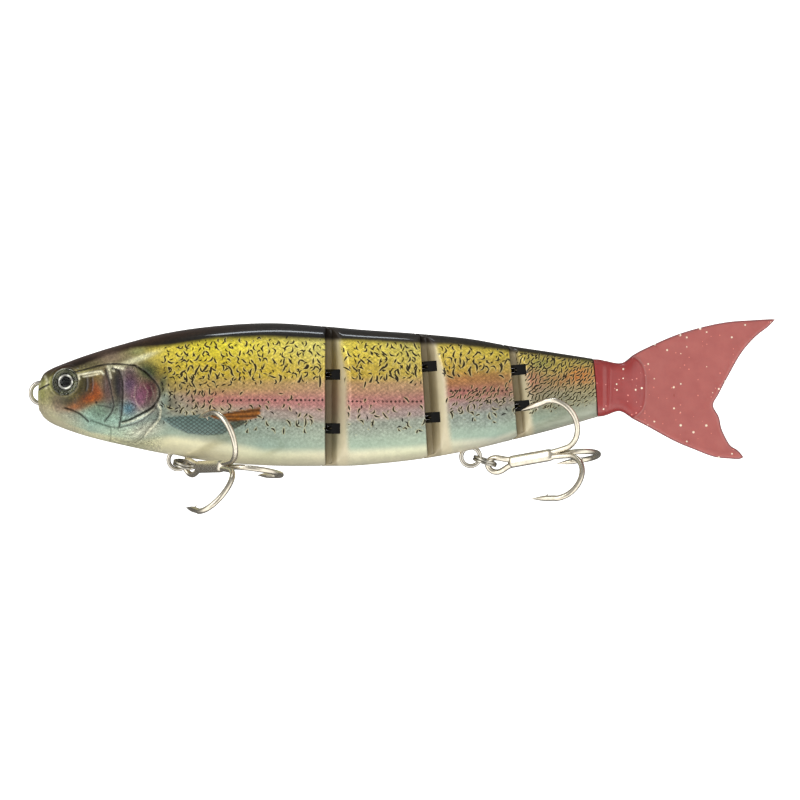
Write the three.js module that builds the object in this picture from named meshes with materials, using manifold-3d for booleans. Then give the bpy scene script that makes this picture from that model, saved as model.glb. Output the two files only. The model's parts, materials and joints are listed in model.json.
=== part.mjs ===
// A four-section jointed swimbait: a hard hollow trout body in four sections on vertical hinge pins,
// a soft forked tail, a line tie and two treble hooks on split rings.
// Millimetres. +Z is up, +X runs from nose to tail, and the fish's left flank faces -Y.
// The origin is the centre of the line tie's ring.

import * as THREE from 'three';
import { mergeVertices } from 'three/addons/utils/BufferGeometryUtils.js';
import Module from 'manifold-3d';

const wasm = await Module();
wasm.setup();

// ---------------------------------------------------------------- driving dimensions

// The body's outline: [x, back height, belly height, half width].
const BODY_STATIONS = [
  [-0.3, 3.4, -5.4, 3.0],
  [0.7, 5.5, -7.0, 5.0],
  [2.6, 6.9, -8.6, 6.7],
  [6, 8.4, -10.2, 8.2],
  [13, 11.0, -12.6, 9.9],
  [23, 14.1, -15.1, 11.3],
  [37, 17.7, -18.0, 12.5],
  [52, 19.8, -20.3, 13.0],
  [68, 20.6, -21.4, 12.9],
  [84, 19.6, -21.5, 12.3],
  [94, 18.7, -21.3, 11.8],
  [112, 17.4, -19.4, 10.5],
  [126, 16.0, -16.9, 9.3],
  [138, 13.9, -14.0, 8.1],
  [150, 12.1, -11.0, 7.0],
  [164, 9.9, -7.0, 5.7],
];
const BODY_SECTION_POWER = 2.25;
const BODY_RING_POINTS = 20;
const BODY_STEP = 8;
const CAVITY_RING_POINTS = 16;
const CAVITY_STEP = 12;
const NOSE_STEP = 1.9;
const NOSE_LENGTH = 9;
const WALL = 2.2;
const PARTING_GAP = 0.05;
const FIT_GAP = 0.3;

// Each hinge: the front section's rear face at the line tie's height, the lean of the pin,
// and the heights of its two eyes.
const HINGES = {
  front: { face: 83.8, lean: 0, upper: 5.4, lower: -10.4, pinTop: 15.5, pinBottom: -18 },
  middle: { face: 112.6, lean: 3.7, upper: 7.8, lower: -7.2, pinTop: 13.5, pinBottom: -15.5 },
  rear: { face: 138.9, lean: 5.6, upper: 6.8, lower: -3.8, pinTop: 10.5, pinBottom: -9.5 },
};
const HINGE_SETBACK = 1.8;
const SWING_LIMIT = 28;
const KNUCKLE_RADIUS = 3.0;
const GROOVE_RADIUS = 3.4;
const FACE_CLEARANCE = 0.35;
const SHOULDER_RADIUS = 2.6;
const PIN_RADIUS = 0.6;
const HINGE_WIRE = 1.1;
const HINGE_EYE_RADIUS = 1.5;
const HINGE_SHANK = 8.6;
const HINGE_SLOT = { height: 3.1, halfWidth: 9, ahead: 5, behind: 2.6 };
const ANCHOR = { radius: 1.5, thickness: 1.0 };

const TAIL_END = { face: 163.2, lean: 4.4 };
const CAVITIES = { head: [14, 78], front_body: [91.5, 107], rear_body: [120, 133.2] };

// Line tie and hook hangers: a round wire ring on a short anchored stem.
const WIRE = 1.3;
const LINE_TIE = { ringRadius: 3.05, stem: 12 };
const HANGERS = {
  front: { x: 40.3, z: -19.7, stem: 9.5 },
  rear: { x: 126.5, z: -18.75, stem: 8.5 },
};
const HANGER_RING_RADIUS = 2.75;

const EYE = {
  x: 7.8,
  y: 7.4,
  z: 3.3,
  radius: 3.95,
  irisThickness: 0.8,
  domeHeight: 1.5,
  depth: 1.5,
  pocket: 6,
};
const EYE_TURN = { toNose: 11, upwards: 9 };
const LENS_EDGE = 0.3;

const BALLAST = {
  head: { x: [50, 70], z: -13.2, radius: 4.2 },
  front_body: { x: [95, 104.5], z: -13.6, radius: 4.0 },
  rear_body: { x: [121.5, 123.7], z: -9.5, radius: 3.2 },
};

// Split rings: two coils side by side, given by centre and by the direction of the coil axis.
const SPLIT_RING = { middleRadius: 3.2, coilWidth: 1.0, coilHeight: 0.9 };
const RING_PLACES = {
  front: { centre: [42.58, -1.4, -20.95], axis: [0.188, -0.188, 0.964] },
  rear: { centre: [130.7, 0.12, -20.09], axis: [0.311, -0.061, 0.948] },
};

// Treble hook. Points are [distance along the shank from the eye's outer end, height above the
// shank's middle line].
const TREBLE = {
  wire: 1.65,
  eyeRadius: 2.25,
  eyeCentre: 3.0,
  shankStart: 8.3,
  shankEnd: 20.7,
  shankRadius: 1.75,
  bendStart: 25.1,
  bendLength: 6.6,
  bendRadius: 7.75,
  spread: 0.35,
  leg: [23.3, 16.35],
  pointStart: [20.4, 15.85],
  tip: [16.3, 15.2],
  tipRadius: 0.1,
};
const BARB = { root: [20.2, 15.8], tip: [21.3, 14.1], rootRadius: 0.45, tipRadius: 0.08 };
const TREBLE_PLACES = {
  front: { origin: [42.15, -1.16, -21.98], yaw: 54.7, pitch: 1.8, roll: 20.1 },
  rear: { origin: [130.96, 1.21, -21.76], yaw: 23.6, pitch: 9.9, roll: 22.2 },
};

// Soft tail: a root that slips over the insert, and a forked blade that flexes behind it.
const TAIL_FLEX_X = 178.6;
const TAIL_KNUCKLE = 1.3;
const BLADE_THICKNESS = 1.8;
const BLADE_LIP = 0.6;
// The blade's edge as [x, z], from its lower front corner round to its upper one.
const BLADE_BELLY = [[186.4, -14.1], [192.3, -16.6], [198.2, -18.8], [205.2, -19.4]];
const BLADE_LOWER_TIP = [206.9, -18.9];
const BLADE_LOWER_FORK = [[202.8, -15.2], [200.5, -10.8], [199.6, -7], [197.8, -3.4]];
const BLADE_UPPER_FORK = [[202, 4.4], [206.1, 11.6], [210.2, 16.4], [215, 20.3]];
const BLADE_UPPER_TIP = [216.2, 21.7];
const BLADE_BACK = [[210, 21.5], [202, 20.9], [194.2, 19.3], [186.4, 16.9]];
const TAIL_ROOT_STATIONS = [
  [162.4, 9.9, -6.9, 5.5],
  [165.4, 9.7, -6.8, 5.4],
  [166.6, 9.3, -6.4, 4.9],
  [170.8, 8.9, -5.6, 4.1],
  [173.5, 11.0, -7.4, 3.3],
  [176.9, 13.0, -9.2, 2.3],
];
const TAIL_SECTION_POWER = 3;
const INSERT = { x: [150, 174.6], z: [-3.4, 6.8], thickness: 1.6, corner: 2.2 };
const TAIL_PIN = { x: 157.5, z: 1.6, radius: 0.8, halfLength: 4.6 };

// ---------------------------------------------------------------- materials

const material = (color, roughness, metalness) => new THREE.MeshStandardMaterial({
  color, roughness, metalness,
});
const MATERIALS = {
  printedShell: material(0x9fae8e, 0.25, 0.15),
  steel: material(0xc9c6bd, 0.25, 0.95),
  lead: material(0x77797c, 0.6, 0.7),
  iris: material(0xd9d8cf, 0.3, 0.3),
  lens: material(0xe8ece8, 0.05, 0),
  insert: material(0x8c3238, 0.5, 0),
  softPlastic: material(0xb9595f, 0.35, 0),
};

// ---------------------------------------------------------------- solids and booleans

const radians = THREE.MathUtils.degToRad;

// How far the cutting solids reach: along the body, to its sides and over its height.
const REACH = 240;
const SIDE = 40;

/** A closed three.js geometry as a solid. */
function solid(geometry) {
  const bare = geometry.clone();
  bare.deleteAttribute('normal');
  bare.deleteAttribute('uv');
  const merged = mergeVertices(bare, 1e-4);
  return new wasm.Manifold(new wasm.Mesh({
    numProp: 3,
    vertProperties: new Float32Array(merged.attributes.position.array),
    triVerts: new Uint32Array(merged.index.array),
  }));
}

/** A solid as a three.js geometry. */
function geometryOf(body) {
  const mesh = body.getMesh();
  const geometry = new THREE.BufferGeometry();
  geometry.setAttribute('position', new THREE.BufferAttribute(mesh.vertProperties, 3));
  geometry.setIndex(new THREE.BufferAttribute(mesh.triVerts, 1));
  geometry.computeVertexNormals();
  return geometry;
}

const union = (solids) => solids.reduce((sum, piece) => sum.add(piece));

/** A box given by its two corners. */
function boxSolid([x0, y0, z0], [x1, y1, z1]) {
  const box = new THREE.BoxGeometry(x1 - x0, y1 - y0, z1 - z0);
  return solid(box.translate((x0 + x1) / 2, (y0 + y1) / 2, (z0 + z1) / 2));
}

/** A round rod from one point to another, with its own radius at each end. */
function rod(from, to, radius, endRadius = radius, sides = 10) {
  const start = new THREE.Vector3(...from);
  const along = new THREE.Vector3(...to).sub(start);
  const geometry = new THREE.CylinderGeometry(endRadius, radius, along.length(), sides);
  geometry.translate(0, along.length() / 2, 0);
  const turn = new THREE.Quaternion().setFromUnitVectors(
    new THREE.Vector3(0, 1, 0),
    along.clone().normalize(),
  );
  return solid(geometry.applyQuaternion(turn).translate(...from));
}

/** A ring of round wire about the Y axis. */
function wireRing(ringRadius, wireRadius, turns = 24, sides = 8) {
  const profile = Array.from({ length: sides + 1 }, (_, k) => {
    const angle = (2 * Math.PI * k) / sides;
    return new THREE.Vector2(
      ringRadius + wireRadius * Math.cos(angle),
      wireRadius * Math.sin(angle),
    );
  });
  return new THREE.LatheGeometry(profile, turns);
}

/** A round tube along a curve, with flat ends. */
function tube(curve, radius, steps) {
  const section = new THREE.Shape().absarc(0, 0, radius, 0, 2 * Math.PI);
  return solid(new THREE.ExtrudeGeometry(section, {
    extrudePath: curve, steps, curveSegments: 4, bevelEnabled: false,
  }));
}

// ---------------------------------------------------------------- lofted bodies

/** The outline's row at x, read from the stations with a smooth cubic between them. */
function outlineAt(stations, x) {
  const last = stations.length - 2;
  const found = stations.findIndex((row, i) => i <= last && x <= stations[i + 1][0]);
  const i = found < 0 ? last : found;
  const slope = (k, column) => {
    const a = stations[Math.max(k - 1, 0)];
    const b = stations[Math.min(k + 1, stations.length - 1)];
    return (b[column] - a[column]) / (b[0] - a[0]);
  };
  const [p, q] = [stations[i], stations[i + 1]];
  const span = q[0] - p[0];
  const t = (x - p[0]) / span;
  return [1, 2, 3].map((column) => {
    const rise = (2 * t ** 3 - 3 * t ** 2 + 1) * p[column] + (3 * t ** 2 - 2 * t ** 3) * q[column];
    const lead = (t ** 3 - 2 * t ** 2 + t) * slope(i, column);
    return rise + span * (lead + (t ** 3 - t ** 2) * slope(i + 1, column));
  });
}

/** One closed cross-section at x, `inset` inside the outline. */
function sectionRing(stations, x, inset, power, count) {
  const [back, belly, halfWidth] = outlineAt(stations, x);
  const halfHeight = (back - belly) / 2 - inset;
  const bent = (value) => Math.sign(value) * Math.abs(value) ** (2 / power);
  return Array.from({ length: count }, (_, k) => {
    const angle = (2 * Math.PI * k) / count;
    return [
      x,
      (halfWidth - inset) * bent(Math.cos(angle)),
      (back + belly) / 2 + halfHeight * bent(Math.sin(angle)),
    ];
  });
}

/** A solid through the outline's cross-sections at the given places. */
function loft(stations, places, inset = 0, power = BODY_SECTION_POWER, count = BODY_RING_POINTS) {
  const rings = places.map((x) => sectionRing(stations, x, inset, power, count));
  const middle = (ring) => [0, 1, 2].map((axis) => (ring[0][axis] + ring[count / 2][axis]) / 2);
  const points = [...rings.flat(), middle(rings[0]), middle(rings.at(-1))];
  const faces = [];
  for (let k = 0; k < count; k += 1) {
    const next = (k + 1) % count;
    for (let r = 0; r < rings.length - 1; r += 1) {
      const [a, b, c, d] = [k, next, next + count, k + count].map((n) => n + r * count);
      faces.push(a, b, c, a, c, d);
    }
    const end = (rings.length - 1) * count;
    faces.push(points.length - 2, next, k, points.length - 1, end + k, end + next);
  }
  const geometry = new THREE.BufferGeometry();
  geometry.setAttribute('position', new THREE.Float32BufferAttribute(points.flat(), 3));
  geometry.setIndex(faces);
  return solid(geometry);
}

/** Evenly spaced places from one x to another, no further apart than step. */
function places(from, to, step) {
  const count = Math.ceil((to - from) / step);
  return Array.from({ length: count + 1 }, (_, i) => from + ((to - from) * i) / count);
}

const bodyStart = BODY_STATIONS[0][0];
const bodyEnd = BODY_STATIONS.at(-1)[0];
const wholeBody = loft(BODY_STATIONS, [
  ...places(bodyStart, NOSE_LENGTH, NOSE_STEP),
  ...places(NOSE_LENGTH, bodyEnd, BODY_STEP).slice(1),
]);

// ---------------------------------------------------------------- hinges between the sections

/** Moves a geometry made about a hinge's pin at the origin to that hinge. */
const atHinge = (hinge, geometry) => geometry
  .rotateY(-radians(hinge.lean))
  .translate(hinge.face + HINGE_SETBACK, 0, 0);

/** A plan outline about a hinge's pin, run through the whole height of the body. */
function planSolid(hinge, shape) {
  const geometry = new THREE.ExtrudeGeometry(shape, {
    depth: 2 * SIDE, curveSegments: 8, bevelEnabled: false,
  });
  return solid(atHinge(hinge, geometry.translate(0, 0, -SIDE)));
}

/** Everything in front of a section's rear face, with the groove for the next section's knuckle. */
function aheadOf(hinge) {
  const mouth = Math.sqrt(GROOVE_RADIUS ** 2 - HINGE_SETBACK ** 2);
  const edge = Math.atan2(mouth, -HINGE_SETBACK);
  const shape = new THREE.Shape();
  shape.moveTo(-REACH, -SIDE);
  shape.lineTo(-HINGE_SETBACK, -SIDE);
  shape.lineTo(-HINGE_SETBACK, -mouth);
  shape.absarc(0, 0, GROOVE_RADIUS, -edge, edge, true);
  shape.lineTo(-HINGE_SETBACK, SIDE);
  shape.lineTo(-REACH, SIDE);
  return planSolid(hinge, shape);
}

/** Everything behind a section's wedge: a knuckle about the pin, slanted faces, round shoulders. */
function behind(hinge) {
  const swing = radians(SWING_LIMIT);
  const offset = HINGE_SETBACK - FACE_CLEARANCE;
  const slantAt = (y) => (y * Math.sin(swing) - offset) / Math.cos(swing);
  const [, , halfWidth] = outlineAt(BODY_STATIONS, hinge.face + HINGE_SETBACK);
  const before = halfWidth - SHOULDER_RADIUS;
  const after = slantAt(halfWidth) + SHOULDER_RADIUS;
  const shape = new THREE.Shape();
  shape.moveTo(0, KNUCKLE_RADIUS);
  shape.absarc(0, 0, KNUCKLE_RADIUS, Math.PI / 2, (3 * Math.PI) / 2, false);
  shape.lineTo(slantAt(before), -before);
  shape.quadraticCurveTo(slantAt(halfWidth), -halfWidth, after, -halfWidth);
  shape.lineTo(REACH, -SIDE);
  shape.lineTo(REACH, SIDE);
  shape.lineTo(after, halfWidth);
  shape.quadraticCurveTo(slantAt(halfWidth), halfWidth, slantAt(before), before);
  return planSolid(hinge, shape);
}

/** A hinge eye: a flat ring round the pin, its stem, and its anchor in the section ahead. */
function hingeEye(hinge, height) {
  const wireRadius = HINGE_WIRE / 2;
  const ring = solid(wireRing(HINGE_EYE_RADIUS, wireRadius, 16, 6).rotateX(Math.PI / 2));
  const stem = rod([-HINGE_EYE_RADIUS, 0, 0], [-HINGE_SHANK, 0, 0], wireRadius, wireRadius, 8);
  const anchorEnd = -HINGE_SHANK - ANCHOR.thickness;
  const anchor = rod([-HINGE_SHANK, 0, 0], [anchorEnd, 0, 0], ANCHOR.radius, ANCHOR.radius, 10);
  const eye = geometryOf(union([ring, stem, anchor]));
  return solid(atHinge(hinge, eye.translate(0, 0, height)));
}

/** What lies ahead of the leaning plane where the soft tail begins. */
function aheadOfTail(gap = 0) {
  const box = geometryOf(boxSolid([-REACH, -SIDE, -SIDE], [gap, SIDE, SIDE]));
  return solid(box.rotateY(-radians(TAIL_END.lean)).translate(TAIL_END.face, 0, 0));
}

/** The round bore or pin of a hinge, between two heights. */
function hingePin(hinge, radius, bottom, top) {
  return solid(atHinge(hinge, geometryOf(rod([0, 0, bottom], [0, 0, top], radius))));
}

/** What a section gives up at its front hinge: the pin's bore and the two eye slots. */
function frontHingeCuts(hinge) {
  const { height, halfWidth, ahead, behind: depth } = HINGE_SLOT;
  const slot = geometryOf(boxSolid(
    [-ahead, -halfWidth, -height / 2],
    [depth, halfWidth, height / 2],
  ));
  const slots = [hinge.upper, hinge.lower].map((middle) => (
    solid(atHinge(hinge, slot.clone().translate(0, 0, middle)))
  ));
  const bore = hingePin(
    hinge,
    PIN_RADIUS + FIT_GAP,
    hinge.pinBottom - FIT_GAP,
    hinge.pinTop + FIT_GAP,
  );
  return [bore, ...slots];
}

/** What a section gives up at its rear face: the bores for the two eyes' stems. */
function rearHingeCuts(hinge) {
  return [hinge.upper, hinge.lower].map((height) => {
    const bore = rod([0, 0, 0], [-HINGE_SHANK - 1, 0, 0], HINGE_WIRE / 2 + FIT_GAP);
    return solid(atHinge(hinge, geometryOf(bore).translate(0, 0, height)));
  });
}

// ---------------------------------------------------------------- wire fittings

/** A wire ring about the Y axis with a stem along +X that ends in an anchor disc. */
function anchoredRing(ringRadius, stem, gap = 0) {
  const wireRadius = WIRE / 2 + gap;
  const ring = solid(wireRing(ringRadius, wireRadius));
  const leg = rod([ringRadius, 0, 0], [stem, 0, 0], wireRadius);
  const anchor = rod(
    [stem - gap, 0, 0],
    [stem + ANCHOR.thickness + gap, 0, 0],
    ANCHOR.radius + gap,
  );
  return union([ring, leg, anchor]);
}

const lineTie = (gap = 0) => anchoredRing(LINE_TIE.ringRadius, LINE_TIE.stem, gap);

function hanger({ x, z, stem }, gap = 0) {
  const upright = geometryOf(anchoredRing(HANGER_RING_RADIUS, stem, gap)).rotateY(-Math.PI / 2);
  return solid(upright.translate(x, 0, z));
}

/** A split ring about +Z at the origin: two flat coils with a groove between them. */
function splitRing() {
  const { middleRadius, coilWidth, coilHeight } = SPLIT_RING;
  const groove = 0.3 * coilWidth;
  const inside = middleRadius - coilWidth / 2;
  const outside = middleRadius + coilWidth / 2;
  const bevel = 0.25 * coilHeight;
  const profile = [
    [inside, bevel],
    [inside + groove, 0],
    [inside, -bevel],
    [inside, -coilHeight + bevel],
    [inside + bevel, -coilHeight],
    [outside - bevel, -coilHeight],
    [outside, -coilHeight + bevel],
    [outside, -bevel],
    [outside - groove, 0],
    [outside, bevel],
    [outside, coilHeight - bevel],
    [outside - bevel, coilHeight],
    [inside + bevel, coilHeight],
    [inside, coilHeight - bevel],
    [inside, bevel],
  ].map(([radius, height]) => new THREE.Vector2(radius, height));
  return new THREE.LatheGeometry(profile, 24).rotateX(Math.PI / 2);
}

/** A point in a hook's plane: +X along the shank, +Z away from it. */
const inHookPlane = ([along, height]) => new THREE.Vector3(along, 0, height);

/** The middle line of one hook's wire, from inside the shank to the start of its point. */
function hookPath() {
  const { wire, shankEnd, bendStart, bendLength, bendRadius, spread } = TREBLE;
  const root = wire / 2;
  const steps = 6;
  const bend = Array.from({ length: steps + 1 }, (_, k) => {
    const angle = Math.PI * (k / steps - 0.5);
    return [
      bendStart + bendLength * Math.cos(angle),
      root + spread + bendRadius * (1 + Math.sin(angle)),
    ];
  });
  const points = [[shankEnd - 3, root], [shankEnd, root], ...bend, TREBLE.leg, TREBLE.pointStart];
  return new THREE.CatmullRomCurve3(points.map(inHookPlane));
}

/** The middle line of the eye's wire, a loop that narrows to the shank. */
function eyePath() {
  const { wire, eyeRadius, eyeCentre, shankStart } = TREBLE;
  const half = [
    [shankStart + 2, wire * 0.4],
    [shankStart - 1.2, wire * 0.62],
    [eyeCentre + eyeRadius * 0.7, eyeRadius * 0.92],
    [eyeCentre, eyeRadius],
    [eyeCentre - eyeRadius * 0.65, eyeRadius * 0.72],
  ];
  const front = [eyeCentre - eyeRadius, 0];
  const mirrored = half.map(([along, height]) => [along, -height]).reverse();
  return new THREE.CatmullRomCurve3([...half, front, ...mirrored].map(inHookPlane));
}

/** A treble hook about the origin: eye, brazed shank and three barbed hooks. */
function trebleHook() {
  const { wire, shankStart, shankEnd, shankRadius, bendStart, pointStart, tip, tipRadius } = TREBLE;
  const at = (point) => inHookPlane(point).toArray();
  const overlap = 1;
  const pieces = [
    tube(eyePath(), wire / 2, 24),
    rod([shankStart, 0, 0], [shankEnd, 0, 0], shankRadius),
    rod([shankEnd - overlap, 0, 0], [bendStart, 0, 0], shankRadius * 0.98, wire * 0.4),
  ];
  const hook = geometryOf(union([
    tube(hookPath(), wire / 2, 22),
    rod(at(pointStart), at(tip), wire / 2, tipRadius, 8),
    rod(at(BARB.root), at(BARB.tip), BARB.rootRadius, BARB.tipRadius, 6),
  ]));
  for (let k = 0; k < 3; k += 1) {
    pieces.push(solid(hook.clone().rotateX((k * 2 * Math.PI) / 3)));
  }
  return geometryOf(union(pieces));
}

// ---------------------------------------------------------------- eyes, ballast and tail

/** Turns a shape made about +Z to face out of one side of the head, and puts it there. */
function placeEye(geometry, side) {
  const toNose = radians(EYE_TURN.toNose);
  const upwards = radians(EYE_TURN.upwards);
  const out = new THREE.Vector3(-Math.sin(toNose), side * Math.cos(toNose), Math.sin(upwards));
  const turn = new THREE.Quaternion().setFromUnitVectors(
    new THREE.Vector3(0, 0, 1),
    out.normalize(),
  );
  return geometry.applyQuaternion(turn).translate(EYE.x, side * EYE.y, EYE.z);
}

const eyePocket = (side) => solid(placeEye(
  new THREE.CylinderGeometry(EYE.radius + FIT_GAP, EYE.radius + FIT_GAP, EYE.pocket, 24)
    .rotateX(Math.PI / 2)
    .translate(0, 0, EYE.pocket / 2 - EYE.depth),
  side,
));

const eyeIris = (side) => placeEye(
  new THREE.CylinderGeometry(EYE.radius, EYE.radius, EYE.irisThickness, 24)
    .rotateX(Math.PI / 2)
    .translate(0, 0, FIT_GAP - EYE.depth + EYE.irisThickness / 2),
  side,
);

function eyeLens(side) {
  const base = 2 * FIT_GAP - EYE.depth + EYE.irisThickness;
  const steps = 4;
  const profile = Array.from({ length: steps + 1 }, (_, k) => {
    const angle = (Math.PI / 2) * (k / steps);
    return new THREE.Vector2(
      EYE.radius * Math.cos(angle),
      LENS_EDGE + EYE.domeHeight * Math.sin(angle),
    );
  });
  profile[steps].x = 0;
  const outline = [new THREE.Vector2(0, 0), new THREE.Vector2(EYE.radius, 0), ...profile];
  const dome = new THREE.LatheGeometry(outline, 24).rotateX(Math.PI / 2);
  return placeEye(dome.translate(0, 0, base), side);
}

/** A cast slug that lies along the floor of a section's cavity. */
function ballast({ x: [from, to], z, radius }) {
  const chamfer = 0.8;
  const slug = union([
    rod([from, 0, 0], [from + chamfer, 0, 0], radius - chamfer, radius, 16),
    rod([from + chamfer, 0, 0], [to - chamfer, 0, 0], radius, radius, 16),
    rod([to - chamfer, 0, 0], [to, 0, 0], radius, radius - chamfer, 16),
  ]);
  return geometryOf(slug).translate(0, 0, z);
}

/** The flat insert, with rounded rear corners, that the soft tail slips over. */
function tailInsert(gap = 0) {
  const [from, to] = INSERT.x;
  const [low, high] = [INSERT.z[0] - gap, INSERT.z[1] + gap];
  const end = to + gap;
  const shape = new THREE.Shape();
  shape.moveTo(from - gap, low);
  shape.lineTo(end - INSERT.corner, low);
  shape.quadraticCurveTo(end, low, end, low + INSERT.corner);
  shape.lineTo(end, high - INSERT.corner);
  shape.quadraticCurveTo(end, high, end - INSERT.corner, high);
  shape.lineTo(from - gap, high);
  const thickness = INSERT.thickness + 2 * gap;
  const plate = new THREE.ExtrudeGeometry(shape, {
    depth: thickness, curveSegments: 5, bevelEnabled: false,
  });
  return solid(plate.translate(0, 0, -thickness / 2).rotateX(Math.PI / 2));
}

const tailPin = (gap = 0) => rod(
  [TAIL_PIN.x, -TAIL_PIN.halfLength - gap, TAIL_PIN.z],
  [TAIL_PIN.x, TAIL_PIN.halfLength + gap, TAIL_PIN.z],
  TAIL_PIN.radius + gap,
);

/** The soft tail's forked blade, with a round front edge about its flex line. */
function tailBlade() {
  const x = TAIL_FLEX_X;
  const [, top, bottom] = TAIL_ROOT_STATIONS.at(-1);
  const points = (rows) => rows.map(([px, pz]) => new THREE.Vector2(px, pz));
  const shape = new THREE.Shape();
  shape.moveTo(x, bottom - BLADE_LIP);
  shape.splineThru(points(BLADE_BELLY));
  shape.lineTo(...BLADE_LOWER_TIP);
  shape.splineThru(points(BLADE_LOWER_FORK));
  shape.splineThru(points(BLADE_UPPER_FORK));
  shape.lineTo(...BLADE_UPPER_TIP);
  shape.splineThru(points([...BLADE_BACK, [x, top + BLADE_LIP]]));
  const sheet = new THREE.ExtrudeGeometry(shape, {
    depth: BLADE_THICKNESS, curveSegments: 2, bevelEnabled: false,
  });
  sheet.translate(0, 0, -BLADE_THICKNESS / 2).rotateX(Math.PI / 2);
  const knuckle = rod(
    [x, 0, bottom - BLADE_LIP],
    [x, 0, top + BLADE_LIP],
    TAIL_KNUCKLE,
    TAIL_KNUCKLE,
    16,
  );
  return geometryOf(union([solid(sheet), knuckle]));
}

const tailRoot = () => geometryOf(
  loft(
    TAIL_ROOT_STATIONS,
    TAIL_ROOT_STATIONS.map(([x]) => x),
    0,
    TAIL_SECTION_POWER,
    20,
  ).subtract(tailInsert(FIT_GAP)).subtract(aheadOfTail(FIT_GAP)),
);

// ---------------------------------------------------------------- the four body sections

const cavity = ([from, to]) => (
  loft(BODY_STATIONS, places(from, to, CAVITY_STEP), WALL, BODY_SECTION_POWER, CAVITY_RING_POINTS)
);

const SECTIONS = {
  head: {
    keep: [aheadOf(HINGES.front)],
    cut: [
      cavity(CAVITIES.head),
      lineTie(FIT_GAP),
      hanger(HANGERS.front, FIT_GAP),
      eyePocket(-1),
      eyePocket(1),
      ...rearHingeCuts(HINGES.front),
    ],
  },
  front_body: {
    keep: [behind(HINGES.front), aheadOf(HINGES.middle)],
    cut: [
      cavity(CAVITIES.front_body),
      ...frontHingeCuts(HINGES.front),
      ...rearHingeCuts(HINGES.middle),
    ],
  },
  rear_body: {
    keep: [behind(HINGES.middle), aheadOf(HINGES.rear)],
    cut: [
      cavity(CAVITIES.rear_body),
      hanger(HANGERS.rear, FIT_GAP),
      ...frontHingeCuts(HINGES.middle),
      ...rearHingeCuts(HINGES.rear),
    ],
  },
  tail_section: {
    keep: [behind(HINGES.rear), aheadOfTail()],
    cut: [tailInsert(FIT_GAP), tailPin(FIT_GAP), ...frontHingeCuts(HINGES.rear)],
  },
};

/** The left and right half shells of one section. */
function halfShells({ keep, cut }) {
  const kept = keep.reduce((body, bound) => body.intersect(bound), wholeBody);
  const whole = cut.reduce((body, tool) => body.subtract(tool), kept);
  const low = -SIDE;
  const left = boxSolid([-REACH, low, low], [REACH, -PARTING_GAP, SIDE]);
  const right = boxSolid([-REACH, PARTING_GAP, low], [REACH, SIDE, SIDE]);
  return { left: geometryOf(whole.intersect(left)), right: geometryOf(whole.intersect(right)) };
}

// ---------------------------------------------------------------- assembly

const swimbait = new THREE.Group();
swimbait.name = 'swimbait';

function add(name, geometry, look) {
  const mesh = new THREE.Mesh(geometry, look);
  mesh.name = name;
  swimbait.add(mesh);
  return mesh;
}

for (const [name, section] of Object.entries(SECTIONS)) {
  const { left, right } = halfShells(section);
  add(`${name}_shell_left`, left, MATERIALS.printedShell);
  add(`${name}_shell_right`, right, MATERIALS.printedShell);
}

for (const [name, slug] of Object.entries(BALLAST)) {
  add(`${name}_ballast`, ballast(slug), MATERIALS.lead);
}

for (const [name, side] of [['left', -1], ['right', 1]]) {
  add(`eye_iris_${name}`, eyeIris(side), MATERIALS.iris);
  add(`eye_lens_${name}`, eyeLens(side), MATERIALS.lens);
}

for (const [name, hinge] of Object.entries(HINGES)) {
  const pin = hingePin(hinge, PIN_RADIUS, hinge.pinBottom, hinge.pinTop);
  add(`${name}_hinge_pin`, geometryOf(pin), MATERIALS.steel);
  for (const level of ['upper', 'lower']) {
    const eye = geometryOf(hingeEye(hinge, hinge[level]));
    add(`${name}_hinge_eye_${level}`, eye, MATERIALS.steel);
  }
}

add('line_tie', geometryOf(lineTie()), MATERIALS.steel);

for (const name of ['front', 'rear']) {
  add(`${name}_hook_hanger`, geometryOf(hanger(HANGERS[name])), MATERIALS.steel);

  const ring = add(`${name}_split_ring`, splitRing(), MATERIALS.steel);
  ring.position.set(...RING_PLACES[name].centre);
  ring.quaternion.setFromUnitVectors(
    new THREE.Vector3(0, 0, 1),
    new THREE.Vector3(...RING_PLACES[name].axis).normalize(),
  );

  const treble = add(`${name}_treble_hook`, trebleHook(), MATERIALS.steel);
  const { origin, yaw, pitch, roll } = TREBLE_PLACES[name];
  treble.position.set(...origin);
  treble.rotation.set(radians(roll), -radians(pitch), -radians(yaw), 'ZYX');
}

add('tail_insert', geometryOf(tailInsert().subtract(tailPin(FIT_GAP))), MATERIALS.insert);
add('tail_pin', geometryOf(tailPin()), MATERIALS.steel);
add('tail_root', tailRoot(), MATERIALS.softPlastic);
add('tail_blade', tailBlade(), MATERIALS.softPlastic);

export default swimbait;
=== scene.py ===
"""A jointed trout swimbait: printed hard shells, steel fittings, treble hooks and a soft forked tail.

Lengths are written in millimetres and turned into metres when a mesh is made. +X runs from nose
to tail, +Z is up and the left flank faces -Y. The origin is the centre of the line tie's ring.
"""

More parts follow.
